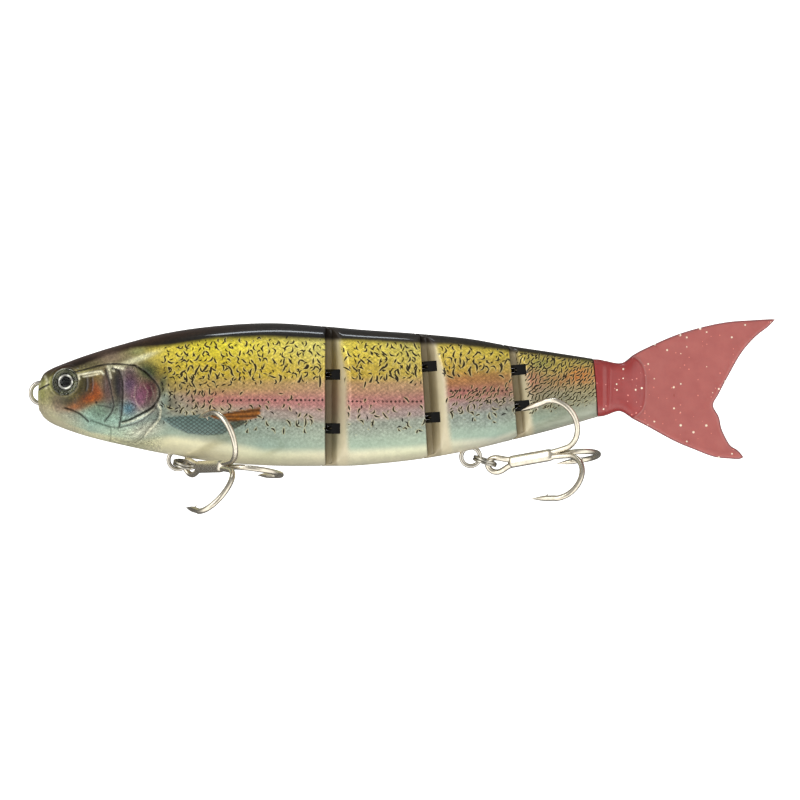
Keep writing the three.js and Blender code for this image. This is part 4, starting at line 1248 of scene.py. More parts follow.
def slot_cutters(joint):
    """The room for a hinge's eyes: tall pockets at the flanks and a low slit between them."""
    ahead, behind, tall = -SLOT["ahead"], SLOT["behind"], SLOT["height"] / 2
    # the slit is round behind the pin, so that no light comes through past the eye
    slit = [(ahead, -WEB - OVERCUT), (TOUCH, -WEB - OVERCUT)]
    for angle in np.linspace(-math.pi / 2, math.pi / 2, 25):
        slit.append((TOUCH + SLIT_END * math.cos(angle), SLIT_END * math.sin(angle)))
    slit += [(TOUCH, WEB + OVERCUT), (ahead, WEB + OVERCUT)]
    bodies = []
    for height in joint["eyes"].values():
        for near, far in ((-OUTSIDE, -WEB), (WEB, OUTSIDE)):
            pocket = [(ahead, near), (behind, near), (behind, far), (ahead, far)]
            bodies.append(prism(pocket, height - tall, height + tall))
        bodies.append(prism(slit, height - SLIT / 2, height + SLIT / 2))
    return [make_object("cutter", at_joint(joint, points), faces) for points, faces in bodies]


def face_vectors(obj, name):
    """A vector of each face of a mesh, such as its centre, as rows."""
    values = np.zeros(len(obj.data.polygons) * 3)
    obj.data.polygons.foreach_get(name, values)
    return values.reshape(-1, 3)


def mark_pocket_shade(obj, joint):
    """Marks the faces inside a hinge's pockets, which are painted near-black as painted shade."""
    x, y, z = (face_vectors(obj, "center") / MM).T
    normal = face_vectors(obj, "normal").T
    behind, up = from_hinge(joint, x, z)
    facing_x, facing_z = from_hinge({**joint, "x": 0}, normal[0], normal[2])
    inside = np.zeros(len(x), bool)
    for height in joint["eyes"].values():
        inside |= np.abs(up - height) < SLOT["height"] / 2 + TOUCH
    inside &= (behind < SLOT["behind"] + TOUCH) & (np.abs(y) > PARTING + 0.01)
    wall = np.abs(facing_z) > 0.99
    wall |= (np.abs(behind - SLOT["behind"]) < TOUCH) & (np.abs(facing_x) > 0.95)
    wall |= np.abs(np.abs(y) - WEB) < TOUCH
    wall |= np.hypot(behind, y) < SLIT_END + 0.03
    attribute = obj.data.attributes.new("recess", "FLOAT", "FACE")
    attribute.data.foreach_set("value", (inside & wall).astype(np.float32))


# paints of single details
# the colour of the painted highlights on the head
HIGHLIGHT_PAINT = linear((244, 240, 208))
PAD_FRONT, PAD_REAR = linear((92, 116, 112)), linear((72, 76, 58))
RAY_PAINT = linear((150, 92, 36))
# the hinge face's colour is the bare plastic darkened as painted shade
BARE_PLASTIC, HINGE_FACE_SHADE = linear((206, 196, 166)), linear((170, 158, 130))
BACK_PAINT = linear((48, 42, 36))
# the lateral line's dots: places along the body with their heights, and where they begin
LATERAL_X = (60, 84, 92, 112, 120, 138, 164)
LATERAL_Z = (-2.1, -2.1, -2.5, -2.5, 0.7, 0.7, 1.5)
LATERAL_START = 55
FAR_OFF = 9.0  # a distance at which no dot shows
# behind the gill plate the marks come in over the first stretch, the finest over the second
MARKS_IN, FINE_MARKS_IN = (35.4, 38.2), (34.4, 37.0)
FOIL_OUT = (36.5, 34.5)  # the wrinkled foil ends here, read forward
# the fin's rays: drop and slope of the middle one, gap between them and how fast it grows
RAY_FAN = (6.9, 0.06, 0.35, 0.10)
RAY_STRIPES = 1.25
TAIL_MARKS = 0.18  # share of the marks that the last section keeps, under its maze

# where the painted shade on each section's hinge face ends and its print begins, behind the pin
SHOULDERS = {"front_body": (1.5, 4.9), "rear_body": (2.2, 5.2), "tail_section": (0.7, 2.9)}

SECTIONS = {
    "head": {"rear": HINGES["front"], "rows": 170, "step": 0.8, "relief": 67},
    "front_body": {"front": HINGES["front"], "rear": HINGES["middle"]},
    "rear_body": {"front": HINGES["middle"], "rear": HINGES["rear"]},
    "tail_section": {"front": HINGES["rear"], "rear": TAIL_END},
}


def paint_head(x, z, colour):
    """The head's patches, lines, painted highlights and fin: (colour, dark line, fin's pad, fin's
    rays).
    """
    colour = add_patches(x, z, colour, PATCHES, SHADES)
    dot_x, dot_z, dot_radius = CHEEK_DOT
    line = smooth(dot_radius, dot_radius * 0.5, np.hypot(x - dot_x, z - dot_z))
    for _, half_width, darkness, points in HEAD_LINES:
        distance = line_distance(x, z, points)
        line = np.maximum(line, darkness * smooth(half_width * 1.5, half_width * 0.4, distance))
    # painted highlights along the head's relief
    for strength, half_width, points in PAINTED_HIGHLIGHTS:
        highlight = strength * hump(line_distance(x, z, points), half_width)
        colour = blended(colour, HIGHLIGHT_PAINT, highlight)
    pad = smooth(-0.2, 0.5, inside_distance(x, z, FIN_PAD))
    pad_paint = blended(PAD_FRONT, PAD_REAR, smooth(52, 59, x))
    colour = blended(colour, pad_paint, 0.92 * pad)
    # stripes fan out from the fin's root
    rays = smooth(-0.15, 0.25, inside_distance(x, z, FIN_RAYS))
    drop, slope, gap, growth = RAY_FAN
    fan = (z + drop - slope * (x - 48)) / (gap + growth * (x - 46))
    stripe = 0.5 + 0.5 * np.cos(fan * 2 * math.pi * RAY_STRIPES)
    colour = blended(colour, RAY_PAINT * (0.22 + 0.95 * stripe)[:, None], rays)
    return colour, line, pad, rays


def paint_ends(section, place, x, z, colour):
    """Bare plastic on a section's hinge faces and shoulders, darker on the hinge face as painted
    shade, with the back's dark paint over the top: (colour, share of print)."""
    true_x, y, true_z = place
    front, rear = SECTIONS[section]["front"], SECTIONS[section]["rear"]
    behind, _ = from_hinge(front, true_x, true_z)
    at_rear, _ = from_hinge(rear, true_x, true_z)
    back, belly, _ = hermite(STATIONS, x)
    share = (z - belly) / (back - belly)
    face_shade_end, print_start = SHOULDERS[section]
    print_start = print_start - 1.9 * smooth(0.62, 0.9, share) + 0.5 * smooth(0.3, 0.0, share)
    printed = smooth(-1.3, 0.7, behind - print_start) * (np.abs(y) > 1.0)
    printed *= at_rear < (0 if rear is TAIL_END else -SETBACK) - 0.02
    # painted shade: the hinge face behind the pin is darker than the shoulder
    bare_with_shade = blended(BARE_PLASTIC, HINGE_FACE_SHADE, smooth(face_shade_end + 0.45, face_shade_end - 0.25, behind))
    bare_with_shade = blended(bare_with_shade, BACK_PAINT, fade(x, z, DORSAL_EDGE, DORSAL_EDGE, -1.6))
    return blended(bare_with_shade, colour, printed), printed


def paint_shell(obj, section):
    """Writes the print's colours, with painted shade and highlights, and mark densities onto a shell.
    """
    place = positions(obj).T
    x, z = side_view(*place)
    colour = band_colour(x, z)
    nothing = np.zeros(len(x))
    line, pad, foil, maze = [nothing] * 4
    printed = np.ones(len(x))
    if section == "head":
        colour, line, pad, rays = paint_head(x, z, colour)
        off_fin = (1 - pad) * (1 - rays)
        marked = smooth(*MARKS_IN, x) * off_fin
        crown = smooth(*FINE_MARKS_IN, x) * off_fin
        foil = smooth(*FOIL_OUT, x) * smooth(9.5, 7.5, z) * smooth(4, 9, x)
        foil = foil * (0.55 + 0.4 * smooth(18, 25, x))
    else:
        if section == "tail_section":
            colour = add_patches(x, z, colour, TAIL_PATCHES)
        colour, printed = paint_ends(section, place, x, z, colour)
        marked = crown = printed

    # marks crowd the yellow back and thin out down the flank
    upper = fade(x, z, DORSAL_EDGE, YELLOW)
    yellow = upper * fade(x, z, TAN, YELLOW_END, -1.0, 1.0)
    flank = fade(x, z, PINK, LAVENDER) * fade(x, z, TEAL_END, TEAL, 2.5, -0.5)
    rose = hump(z - paint_height(PINK, x), 2.6)
    behind_gill = smooth(64, 40, x) * smooth(-7.5, -4.5, z) * smooth(8, 3, z)
    near_gill = smooth(58, 42, x) * smooth(-6.5, -3.5, z) * upper
    small = np.clip(0.86 * yellow + 0.46 * flank + 0.16 * rose + 0.5 * behind_gill, 0, 0.92)
    fine = np.clip(0.55 * yellow + 0.12 * flank + 0.8 * behind_gill + 0.5 * near_gill, 0, 1)
    bold = 0.82 * hump(z - paint_height(YELLOW_END, x) + 0.2, 2.2)
    lateral = z - np.interp(x, LATERAL_X, LATERAL_Z)
    lateral = np.where((printed < 0.7) | (x < LATERAL_START), FAR_OFF, lateral)
    if section == "rear_body":
        maze = 0.75 * hump(z - paint_height(PINK, x) + 1.0, 2.4)
    elif section == "tail_section":
        maze = fade(x, z, TEAL_END, TEAL, 0.0, 1.5) * fade(x, z, DORSAL_EDGE, YELLOW, 0.0, 0.5)
        small, fine = TAIL_MARKS * small, TAIL_MARKS * fine
        bold, lateral = nothing, nothing + FAR_OFF
    scales = marked * upper * fade(x, z, TEAL_END, TEAL)
    calm = fade(x, z, CREAM, TEAL, 0.0, 1.0)
    for name, values in {
        "foil": foil,
        "grain": printed * (0.10 + 0.75 * calm) * (1 - 0.5 * pad),
        "printed": printed,
        "line": line,
        "ink_small": marked * small,
        "ink_fine": crown * fine,
        "ink_bold": marked * bold,
        "ink_maze": printed * maze,
        "scales": np.maximum(0.22 * scales, 0.8 * pad),
        "lateral": lateral,
    }.items():
        float_attribute(obj, name, values)
    colour_attribute(obj, "paint", colour)


# radii of the eye's pocket at its mouth and at its floor
POCKET_MOUTH, POCKET_FLOOR = 4.15, 3.85
# a shallow hollow in the belly leaves the front ring room at the end of its swing
HOLLOW_X, HOLLOW_LENGTH, HOLLOW_WIDTH, HOLLOW_DEPTH = 39.8, 2.2, 2.6, 0.24


def model_head(piece, side):
    """Raises the relief, sinks the eye's pocket and hollows the belly at the front ring."""
    p = positions(piece)
    x, y, z = p.T
    height, radius, out = head_relief(x, y, z)
    normals = np.zeros(len(p) * 3, np.float32)
    piece.data.vertices.foreach_get("normal", normals)
    # the relief leaves the parting face and the rear end alone
    free = smooth(0.2, 1.6, np.abs(y)) * (x < 70)
    moved = p + normals.reshape(-1, 3) * (height * free)[:, None]
    axis = np.array([EYE_OUT.x, side * EYE_OUT.y, EYE_OUT.z])
    drop = smooth(POCKET_MOUTH, POCKET_FLOOR, radius) * (out > -3.5) * (np.abs(y) > 2)
    moved -= axis * ((out + EYE["depth"]) * drop)[:, None]
    hollow = hump(x - HOLLOW_X, HOLLOW_LENGTH) * hump(y, HOLLOW_WIDTH) * (z < 0)
    moved[:, 2] += HOLLOW_DEPTH * hollow
    piece.data.vertices.foreach_set("co", (moved * MM).astype(np.float32).ravel())
    piece.data.update()
    shade(piece, HEAD_CREASE)


def cut_slots(piece, joint):
    """Cuts the pockets for a hinge's eyes."""
    for cutter in slot_cutters(joint):
        cut(piece, cutter)
        bpy.data.objects.remove(cutter)
    shade(piece, SHELL_CREASE)
    mark_pocket_shade(piece, joint)


for section, shape in SECTIONS.items():
    for side_name, side in SIDES.items():
        name = f"{section}_shell_{side_name}"
        piece = half_shell(f"printed_{name}", side, **shape)
        if section == "head":
            model_head(piece, side)
        else:
            cut_slots(piece, shape["front"])
        paint_shell(piece, section)
        finish_piece(piece, "printed_shell", section, name)

# ------------------------------------------------------------------ eyes

IRIS_THICKNESS, IRIS_SINK, IRIS_CIRCLES = 0.8, 0.3, 14
LENS_GAP, LENS_CHAMFER, LENS_RIM, LENS_STEPS = 0.05, 0.1, 0.4, 24


def iris_profile(radius, floor):
    """A disc whose face has circles of points to carry the print."""
    face = floor + IRIS_THICKNESS
    profile = [(ON_AXIS, floor), (radius, floor), (radius, face)]
    profile += [(radius * (1 - k / IRIS_CIRCLES), face) for k in range(1, IRIS_CIRCLES)]
    return profile + [(ON_AXIS, face)]


def lens_profile(radius, base):
    """A dome on a low rim."""
    profile = [(ON_AXIS, base), (radius - LENS_CHAMFER, base), (radius, base + LENS_CHAMFER),
               (radius, base + LENS_RIM)]
    for k in range(1, LENS_STEPS + 1):
        angle = math.pi / 2 * k / LENS_STEPS
        profile.append((max(radius * math.cos(angle), ON_AXIS),
                        base + LENS_RIM + EYE["dome"] * math.sin(angle)))
    return profile


for side_name, side in SIDES.items():
    out = Vector((EYE_OUT.x, side * EYE_OUT.y, EYE_OUT.z))
    turn = Vector((0, 0, 1)).rotation_difference(out).to_matrix()
    centre = (EYE["x"], side * EYE["y"], EYE["z"])
    floor = IRIS_SINK - EYE["depth"]

    points, faces = lathe(iris_profile(EYE["radius"], floor), 64)
    iris = make_object(f"eye_iris_{side_name}_print", turned(points, turn, centre), faces,
                       merge=1e-3)
    p = positions(iris) - np.array(centre)
    along = p @ np.array(out)
    float_attribute(iris, "radius", np.sqrt(np.maximum((p**2).sum(1) - along**2, 0)))
    finish_piece(iris, "eye_print", "head", f"eye_iris_{side_name}")

    profile = lens_profile(EYE["radius"], floor + IRIS_THICKNESS + LENS_GAP)
    points, faces = lathe(profile, 64)
    lens = make_object(f"eye_lens_{side_name}_dome", turned(points, turn, centre), faces,
                       merge=1e-3)
    finish_piece(lens, "eye_lens", "head", f"eye_lens_{side_name}")

# ------------------------------------------------------------------ wire fittings

WIRE, HINGE_WIRE = 1.3, 1.1
ANCHOR_RADIUS, ANCHOR_THICKNESS, ANCHOR_LIP = 1.5, 1.0, 0.2
LINE_TIE_RADIUS, LINE_TIE_STEM = 3.05, 12
HANGER_RADIUS = 2.75
EYE_RADIUS, SHANK, PIN, PIN_LIP = 1.5, 8.6, 0.6, 0.15
OVERLAP = 0.1  # how far a stem starts inside its ring
REACH_IN = 0.2  # how far it runs into its anchor


def ring_path(radius, count=72):
    """A circle about Y."""
    angles = circle(count)
    return np.stack([radius * np.cos(angles), 0 * angles, radius * np.sin(angles)], 1)


def rod(radius, low, high, lip):
    """A round rod along Z with rounded rims."""
    return lathe([(ON_AXIS, low), (radius - lip, low), (radius, low + lip), (radius, high - lip),
                  (radius - lip, high), (ON_AXIS, high)], 24)


def anchor_disc(start):
    """A small rounded disc on a stem, along +X from start."""
    points, faces = rod(ANCHOR_RADIUS, 0, ANCHOR_THICKNESS, ANCHOR_LIP)
    return turned(points, rotation(1, math.pi / 2), (start, 0, 0)), faces


def anchored_ring(ring_radius, stem):
    """A wire ring about Y with its stem along +X."""
    ring = tube(ring_path(ring_radius), WIRE / 2, 18, closed=True)
    places = (ring_radius - OVERLAP, stem / 2, stem + REACH_IN)
    leg = tube([(x, 0, 0) for x in places], WIRE / 2, 18)
    return joined(ring, leg, anchor_disc(stem))


def hinge_eye():
    """A wire eye about Z with its shank along -X."""
    points, faces = tube(ring_path(EYE_RADIUS, 40), HINGE_WIRE / 2, 16, closed=True)
    ring = (turned(points, rotation(0, -math.pi / 2)), faces)
    places = (-EYE_RADIUS + OVERLAP, -SHANK / 2, -SHANK - REACH_IN)
    leg = tube([(x, 0, 0) for x in places], HINGE_WIRE / 2, 16)
    return joined(ring, leg, anchor_disc(-SHANK - ANCHOR_THICKNESS))


def hinge_part(name, joint, points, faces, body, node):
    """A hinge part made about its pin, darkened all over as painted shade for its pocket."""
    obj = make_object(name, at_joint(joint, points), faces)
    # painted shade over the whole part, for the shade in its pocket
    float_attribute(obj, "tarnish", np.ones(len(obj.data.vertices)))
    finish_piece(obj, "wire_steel", body, node)


points, faces = anchored_ring(LINE_TIE_RADIUS, LINE_TIE_STEM)
finish_piece(make_object("line_tie_wire", points, faces), "wire_steel", "head", "line_tie")

HANGERS = {"front": ("head", 9.5), "rear": ("rear_body", 8.5)}  # body and length of the stem
for name, (body, stem) in HANGERS.items():
    pivot = np.array(JOINTS[f"{name}_ring_swing"]["pos_m"]) / MM
    points, faces = anchored_ring(HANGER_RADIUS, stem)
    points = turned(points, rotation(1, -math.pi / 2), pivot)
    hanger = make_object(f"{name}_hanger_wire", points, faces)
    finish_piece(hanger, "wire_steel", body, f"{name}_hook_hanger")

HINGE_BODIES = {
    "front": ("head", "front_body"),
    "middle": ("front_body", "rear_body"),
    "rear": ("rear_body", "tail_section"),
}
for name, joint in HINGES.items():
    ahead, behind = HINGE_BODIES[name]
    pin = rod(PIN, *joint["pin"], PIN_LIP)
    hinge_part(f"{name}_pin_rod", joint, *pin, behind, f"{name}_hinge_pin")
    for level, height in joint["eyes"].items():
        points, faces = hinge_eye()
        points = points + np.array([0, 0, height])
        hinge_part(f"{name}_eye_{level}_wire", joint, points, faces, ahead,
                   f"{name}_hinge_eye_{level}")

# ------------------------------------------------------------------ split rings and treble hooks

SPLIT_RING = {"radius": 3.2, "width": 0.94, "height": 0.74, "turns": 1.94, "rise": 0.80}
WIRE_POWER = 3.2  # of the flattened wire's section
CROSSOVER = 0.09  # half the step from one coil to the other, as a share of the whole wire


def split_ring():
    """Two turns of flattened wire that lie on each other, with both cut ends showing."""
    count, sides = 150, 16
    angles = np.linspace(0, SPLIT_RING["turns"] * 2 * math.pi, count)
    share = np.linspace(-0.5, 0.5, count)
    lift = SPLIT_RING["rise"] * (smooth(-CROSSOVER, CROSSOVER, share) - 0.5)
    around = circle(sides)
    out = SPLIT_RING["radius"] + SPLIT_RING["width"] / 2 * bent(np.cos(around), WIRE_POWER)
    up = SPLIT_RING["height"] / 2 * bent(np.sin(around), WIRE_POWER)
    points = [
        (r * math.cos(angle), r * math.sin(angle), rise + z)
        for angle, rise in zip(angles, lift) for r, z in zip(out, up)
    ]
    return np.array(points), capped_faces(count, sides)


for name in ("front", "rear"):
    joint = JOINTS[f"{name}_treble_swivel"]
    turn = Vector((0, 0, 1)).rotation_difference(Vector(joint["axis"])).to_matrix()
    points, faces = split_ring()
    centre = np.array(joint["pos_m"]) / MM
    ring = make_object(f"{name}_split_ring_coil", turned(points, turn, centre), faces)
    finish_piece(ring, "ring_steel", f"{name}_ring", f"{name}_split_ring")

TREBLE = {
    "wire": 1.65,
    "eye_radius": 2.25,
    "eye_centre": 3.0,
    "shank_start": 8.3,
    "shank_end": 20.7,
    "shank_radius": 1.75,
    "bend_start": 25.1,
    "bend_length": 6.6,
    "bend_radius": 7.75,
    "spread": 0.35,
    "taper": 5.2,
    "leg": (23.3, 16.35),
    "point_start": (20.4, 15.85),
    "tip": (16.3, 15.2),
    "barb_root": (20.6, 15.75),
    "barb_tip": (21.5, 14.25),
}
# where each hook's eye hangs at rest, and how it is turned, in degrees
TREBLE_PLACES = {
    "front": {"origin": (42.15, -1.16, -21.98), "yaw": 54.7, "pitch": 1.8, "roll": 20.1},
    "rear": {"origin": (130.96, 1.21, -21.76), "yaw": 23.6, "pitch": 9.9, "roll": 22.2},
}


def lifted(points, steps):
    """A smooth path in the plane of X and Z through (x, z) points."""
    return spline([(x, 0, z) for x, z in points], steps)


def path_lengths(path):
    """Length along a path up to each of its points."""
    return np.concatenate([[0], np.cumsum(np.linalg.norm(np.diff(path, axis=0), axis=1))])


def hook_wire():
    """One hook in the plane of +X, along the shank, and +Z: a tapered tube with its barb."""
    t = TREBLE
    root = t["wire"] / 2
    path = [(t["shank_end"] - 6, root * 0.9), (t["shank_end"] - 1.5, root),
            (t["shank_end"] + 1, root)]
    for angle in np.linspace(-math.pi / 2, math.pi / 2, 9):
        path.append((t["bend_start"] + t["bend_length"] * math.cos(angle),
                     root + t["spread"] + t["bend_radius"] * (1 + math.sin(angle))))
    path = lifted(path + [t["leg"], t["point_start"], t["tip"]], 7)
    lengths = path_lengths(path)
    taper = smooth(0, t["taper"], lengths[-1] - lengths) ** 0.62
    wire = tube(path, root * (0.06 + 0.94 * taper), 20)
    (root_x, root_z), (tip_x, tip_z) = t["barb_root"], t["barb_tip"]
    barb = lifted([
        (root_x - 1.6, root_z - 0.1),
        (root_x, root_z),
        ((root_x + tip_x) / 2 + 0.15, (root_z + tip_z) / 2),
        (tip_x, tip_z),
    ], 4)
    return joined(wire, tube(barb, np.linspace(0.50, 0.04, len(barb)), 10))


def braze():
    """The shank: three wires side by side under a skin of solder, fuller between the wires."""
    t = TREBLE
    count, sides, end_radius, lobe = 40, 48, 0.72, 0.10
    start, end = t["shank_start"] - 0.9, t["shank_end"] + 2.9
    points = []
    for share in np.linspace(0, 1, count):
        swell = smooth(0, 0.07, share) * smooth(1.0, 0.80, share)
        radius = end_radius + (t["shank_radius"] - end_radius) * swell
        for angle in circle(sides):
            r = radius * (1 + lobe * math.cos(3 * (angle - math.pi / 2)))
            points.append((start + (end - start) * share, r * math.cos(angle),
                           r * math.sin(angle)))
    return np.array(points), capped_faces(count, sides)


def treble_eye():
    """The eye: one wire bent round from the shank and back."""
    t = TREBLE
    middle, radius = t["eye_centre"], t["eye_radius"]
    half = [
        (t["shank_start"] + 3, t["wire"] * 0.4),
        (t["shank_start"] - 0.8, t["wire"] * 0.62),
        (middle + radius * 0.7, radius * 0.92),
        (middle, radius),
        (middle - radius * 0.65, radius * 0.72),
    ]
    loop = half + [(middle - radius, 0)] + [(x, -z) for x, z in reversed(half)]
    return tube(lifted(loop, 8), t["wire"] / 2, 20)


def treble_hook():
    """A whole treble along +X from its eye."""
    points, faces = hook_wire()
    hooks = [(turned(points, rotation(0, math.radians(120 * k))), faces) for k in range(3)]
    return joined(*hooks, braze(), treble_eye())


for name, place in TREBLE_PLACES.items():
    yaw, pitch, roll = (math.radians(place[k]) for k in ("yaw", "pitch", "roll"))
    matrix = rotation(2, -yaw) @ rotation(1, -pitch) @ rotation(0, roll)
    points, faces = treble_hook()
    hook = make_object(f"{name}_treble_wire", turned(points, matrix, place["origin"]), faces)
    finish_piece(hook, "hook_steel", f"{name}_treble", f"{name}_treble_hook")

# ------------------------------------------------------------------ soft tail

# half thicknesses of the thick root and of the thin blade along X
ROOT_X = (162.0, 165.2, 166.2, 168.0, 171.0, 174.0, 176.4, 178.2, 180.0, 220.0)
ROOT_HALF = (5.5, 5.45, 4.9, 4.75, 4.1, 3.3, 2.5, 1.35, 0.95, 0.80)
BLADE_X, BLADE_HALF = (176, 184, 216), (1.3, 0.95, 0.72)
# outlines in the side view, each from the root backward, the rear one from the belly up
TAIL_TOP = [(162.6, 10.0), (164.6, 9.85), (166.2, 9.5), (170.9, 8.85), (174.5, 11.3),
            (178.5, 13.4), (186.4, 16.9), (194.2, 19.3), (202.0, 20.9), (210.0, 21.5),
            (214.6, 21.75), (216.2, 21.7)]
TAIL_BOTTOM = [(163.9, -7.0), (165.4, -6.85), (166.6, -6.5), (170.5, -5.4), (174.4, -7.7),
               (178.5, -9.8), (186.4, -14.1), (192.3, -16.6), (198.2, -18.8), (203.0, -19.35),
               (205.6, -19.45), (206.9, -18.9)]
TAIL_REAR = [(206.9, -18.9), (205.2, -16.9), (202.8, -15.2), (200.5, -10.8), (199.6, -7.0),
             (197.9, -3.6), (199.6, -0.2), (202.0, 4.4), (206.1, 11.6), (210.2, 16.4),
             (214.2, 19.6), (216.2, 21.7)]

# the rounded step at which the root ends on the blade, and where there is nothing but root
STEP_END, STEP_Z, STEP_HALF, STEP_BULGE = 178.3, 1.75, 8.3, 2.8
ROOT_ONLY = 172
# the small ridge behind the shell, which leans back with height
RIDGE_X, RIDGE_LEAN, RIDGE_WIDTH, RIDGE_RISE = 167.1, 0.03, 0.35, 0.18
EDGE_ROUND = 1.1  # over which the free edges round off


def resample(points, count, steps=12):
    """A curve's points at even shares of its length."""
    path = spline(points, steps)
    lengths = path_lengths(path)
    wanted = np.linspace(0, lengths[-1], count)
    return np.stack([np.interp(wanted, lengths, path[:, k]) for k in range(2)], 1)


def step_place(x, z):
    """X of a place, moved back by the bulge of the root's end at that height."""
    return x + STEP_BULGE * np.abs((z - STEP_Z) / STEP_HALF) ** 4


def filled_patch(bottom, top, front, rear, share, up):
    """A grid of places between four edges that meet at the corners."""
    u, v = share[None, :, None], up[:, None, None]
    patch = (1 - v) * bottom[None] + v * top[None] + (1 - u) * front[:, None] + u * rear[:, None]
    corners = (1 - u) * (1 - v) * bottom[0] + u * (1 - v) * bottom[-1]
    corners = corners + (1 - u) * v * top[0] + u * v * top[-1]
    return patch - corners


def tail_piece():
    """The tail's two faces between its front, back, belly and rear edges, and its free edge."""
    rows, columns, fine = 91, 200, 600
    up = (1 - np.cos(np.linspace(0, math.pi, rows))) / 2
    bottom, top = resample(TAIL_BOTTOM, columns), resample(TAIL_TOP, columns)
    front = bottom[0] + (top[0] - bottom[0]) * up[:, None]
    whole_rear = resample(TAIL_REAR, fine)
    even = np.linspace(0, 1, fine)
    rear = np.stack([np.interp(up, even, whole_rear[:, k]) for k in range(2)], 1)
    patch = filled_patch(bottom, top, front, rear, np.linspace(0, 1, columns), up)
    x, z = patch[..., 0], patch[..., 1]

    # distance to the free edges rounds the sheet off; the root swells above it
    edge = [tuple(p) for p in np.vstack([bottom[::4], whole_rear[::8], top[::-4]])]
    inward = np.clip(line_distance(x.ravel(), z.ravel(), edge).reshape(x.shape) / EDGE_ROUND, 0, 1)
    sheet = np.interp(x, BLADE_X, BLADE_HALF) * np.sqrt(np.clip(1 - (1 - inward) ** 2, 0, 1))
    low = np.interp(x, bottom[:, 0], bottom[:, 1])
    high = np.interp(x, top[:, 0], top[:, 1])
    level = np.abs(np.clip((2 * z - low - high) / (high - low), -1, 1))
    root = np.interp(x, ROOT_X, ROOT_HALF) * (1 - level**3) ** (1 / 3)
    rooted = smooth(STEP_END, STEP_END - 1, step_place(x, z))
    depth = np.maximum(sheet, root * rooted + sheet * (1 - rooted))
    depth = np.where(x < ROOT_ONLY, root, depth)
    depth += RIDGE_RISE * hump(x - RIDGE_X - RIDGE_LEAN * z, RIDGE_WIDTH) * (1 - level**6)
    depth[0, :] = depth[-1, :] = depth[:, -1] = 0
    halves = [np.stack([x, side * depth, z], 2).reshape(-1, 3) for side in SIDES.values()]
    faces = grid_faces(rows, columns) + grid_faces(rows, columns, base=rows * columns)
    front_loop = [r * columns for r in range(rows)]
    front_loop += [rows * columns + r * columns for r in range(rows - 2, 0, -1)]
    return np.vstack(halves), faces + [tuple(front_loop)], edge


points, faces, tail_edge = tail_piece()
tail = make_object("forked_tail", points, faces, sharp_angle=60)
x, _, z = positions(tail).T
float_attribute(tail, "thick", smooth(STEP_END - 0.1, STEP_END - 0.7, step_place(x, z)))
rim = smooth(0.55, 0.15, line_distance(x, z, tail_edge)) * (x > ROOT_ONLY)
float_attribute(tail, "rim", rim)
finish_piece(tail, "soft_tail", None, "tail_root", "tail_blade")
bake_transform(tail)

# ------------------------------------------------------------------ CAD nodes that stay

for node, slot in (
    ("head_ballast", "ballast_metal"),
    ("front_body_ballast", "ballast_metal"),
    ("rear_body_ballast", "ballast_metal"),
    ("tail_insert", "insert_plastic"),
    ("tail_pin", "wire_steel"),
):
    for material_slot in frame["nodes"][node].material_slots:
        material_slot.material = MATERIALS[slot]

# ------------------------------------------------------------------ studio

SENSOR = 36.0
middle = (Vector(cad_bounds[0]) + Vector(cad_bounds[1])) / 2

camera_data = bpy.data.cameras.new("camera")
camera_data.sensor_width = SENSOR
camera_data.lens = SENSOR * CAMERA_DISTANCE / FRAME_WIDTH
camera = bpy.data.objects.new("camera", camera_data)
bpy.context.scene.collection.objects.link(camera)
camera.location = (AIM_X * MM, -CAMERA_DISTANCE, AIM_Z * MM)
camera.rotation_euler = (math.pi / 2, 0, 0)
bpy.context.scene.camera = camera


def area_light(name, place, size, energy, colour):
    """A rectangular lamp that looks at the object's middle; its place is given from there."""
    data = bpy.data.lights.new(name, "AREA")
    data.shape = "RECTANGLE"
    data.size, data.size_y = size
    data.energy = energy
    data.color = colour
    light = bpy.data.objects.new(name, data)
    bpy.context.scene.collection.objects.link(light)
    light.location = Vector(place) + middle
    light.rotation_euler = (-Vector(place)).to_track_quat("-Z", "Y").to_euler()


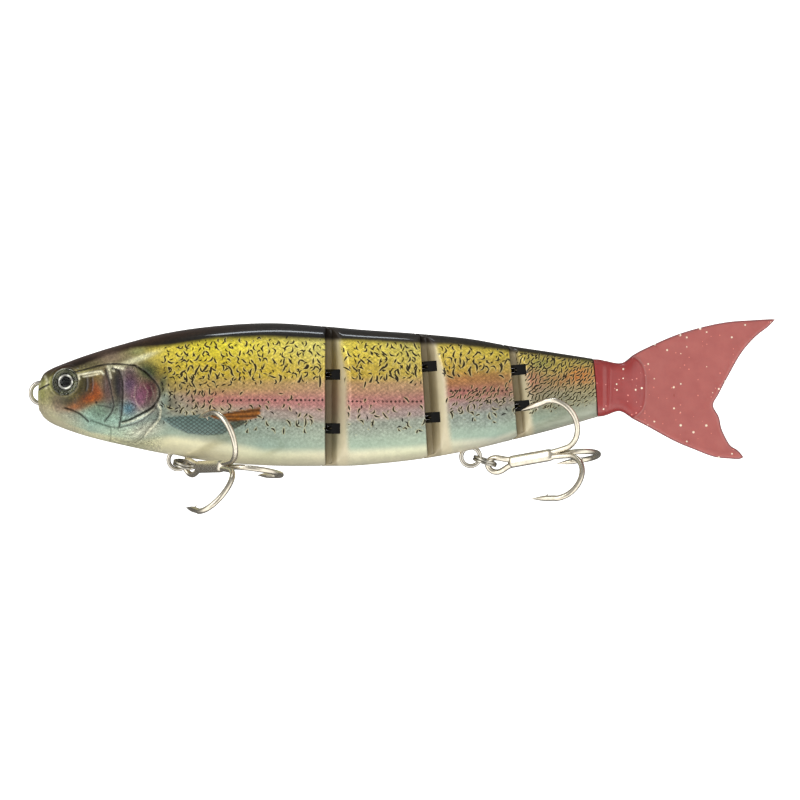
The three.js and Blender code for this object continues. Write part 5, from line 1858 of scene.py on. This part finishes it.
area_light("overhead_strip", (-0.05, 0.14, 0.9), (0.28, 0.08), 0.9, (0.86, 0.93, 1.0))
area_light("side_key", (-1.0, -0.9, 0.45), (0.5, 0.5), 2.0, (1.0, 0.98, 0.94))
area_light("catch_light", (-0.66, -0.79, 0.72), (0.07, 0.07), 0.5, (1.0, 1.0, 1.0))

# a pale round cyclorama: floor, curve and wall in one sheet, seen only by the camera
FLOOR_Z, WALL_RADIUS, WALL_TOP, CURVE = -170.0, 2800.0, 4000.0, 800.0
profile = [(ON_AXIS, FLOOR_Z)]
for angle in np.linspace(0, math.pi / 2, 16):
    profile.append((WALL_RADIUS - CURVE + CURVE * math.sin(angle),
                    FLOOR_Z + CURVE * (1 - math.cos(angle))))
profile.append((WALL_RADIUS, WALL_TOP))
points, faces = lathe(profile, 96)
backdrop = make_object("floor_sweep", points, faces, merge=0)
g = Nodes("pale_paper")
backdrop.data.materials.append(g.set(
    Base_Color=(0.9, 0.9, 0.9), Roughness=0.9,
    Emission_Color=(1.0, 1.0, 1.0), Emission_Strength=0.9,
))
backdrop.visible_diffuse = False
backdrop.visible_glossy = False
backdrop.visible_shadow = False

# soft light from the front half of the room, fading to a dim back
world = bpy.data.worlds.new("studio")
bpy.context.scene.world = world
world.use_nodes = True
sky = Graph(world.node_tree)
direction = sky.add("ShaderNodeTexCoord").outputs["Generated"]
across, depth, up = sky.split(direction)
facing = sky.window(depth, 0.25, -0.35)
aside = sky.window(sky.math("ABSOLUTE", across), 0.22, 0.62)
near_level = sky.window(sky.math("ABSOLUTE", up), 0.90, 0.45)
side_lobes = sky.math("MULTIPLY", sky.math("MULTIPLY", aside, near_level), facing)
from_below = sky.math("MULTIPLY", sky.window(up, -0.35, -0.85), facing)
strength = sky.math("MULTIPLY_ADD", side_lobes, 1.15, sky.window(depth, 0.35, -0.45, 0.18, 0.46))
strength = sky.math("MULTIPLY_ADD", from_below, 1.2, strength)
background = world.node_tree.nodes["Background"]
sky.put(background.inputs["Strength"], strength)
sky.put(background.inputs["Color"], (1.0, 0.99, 0.96))

bpy.context.scene.view_settings.view_transform = "Standard"

bpy.context.view_layer.update()
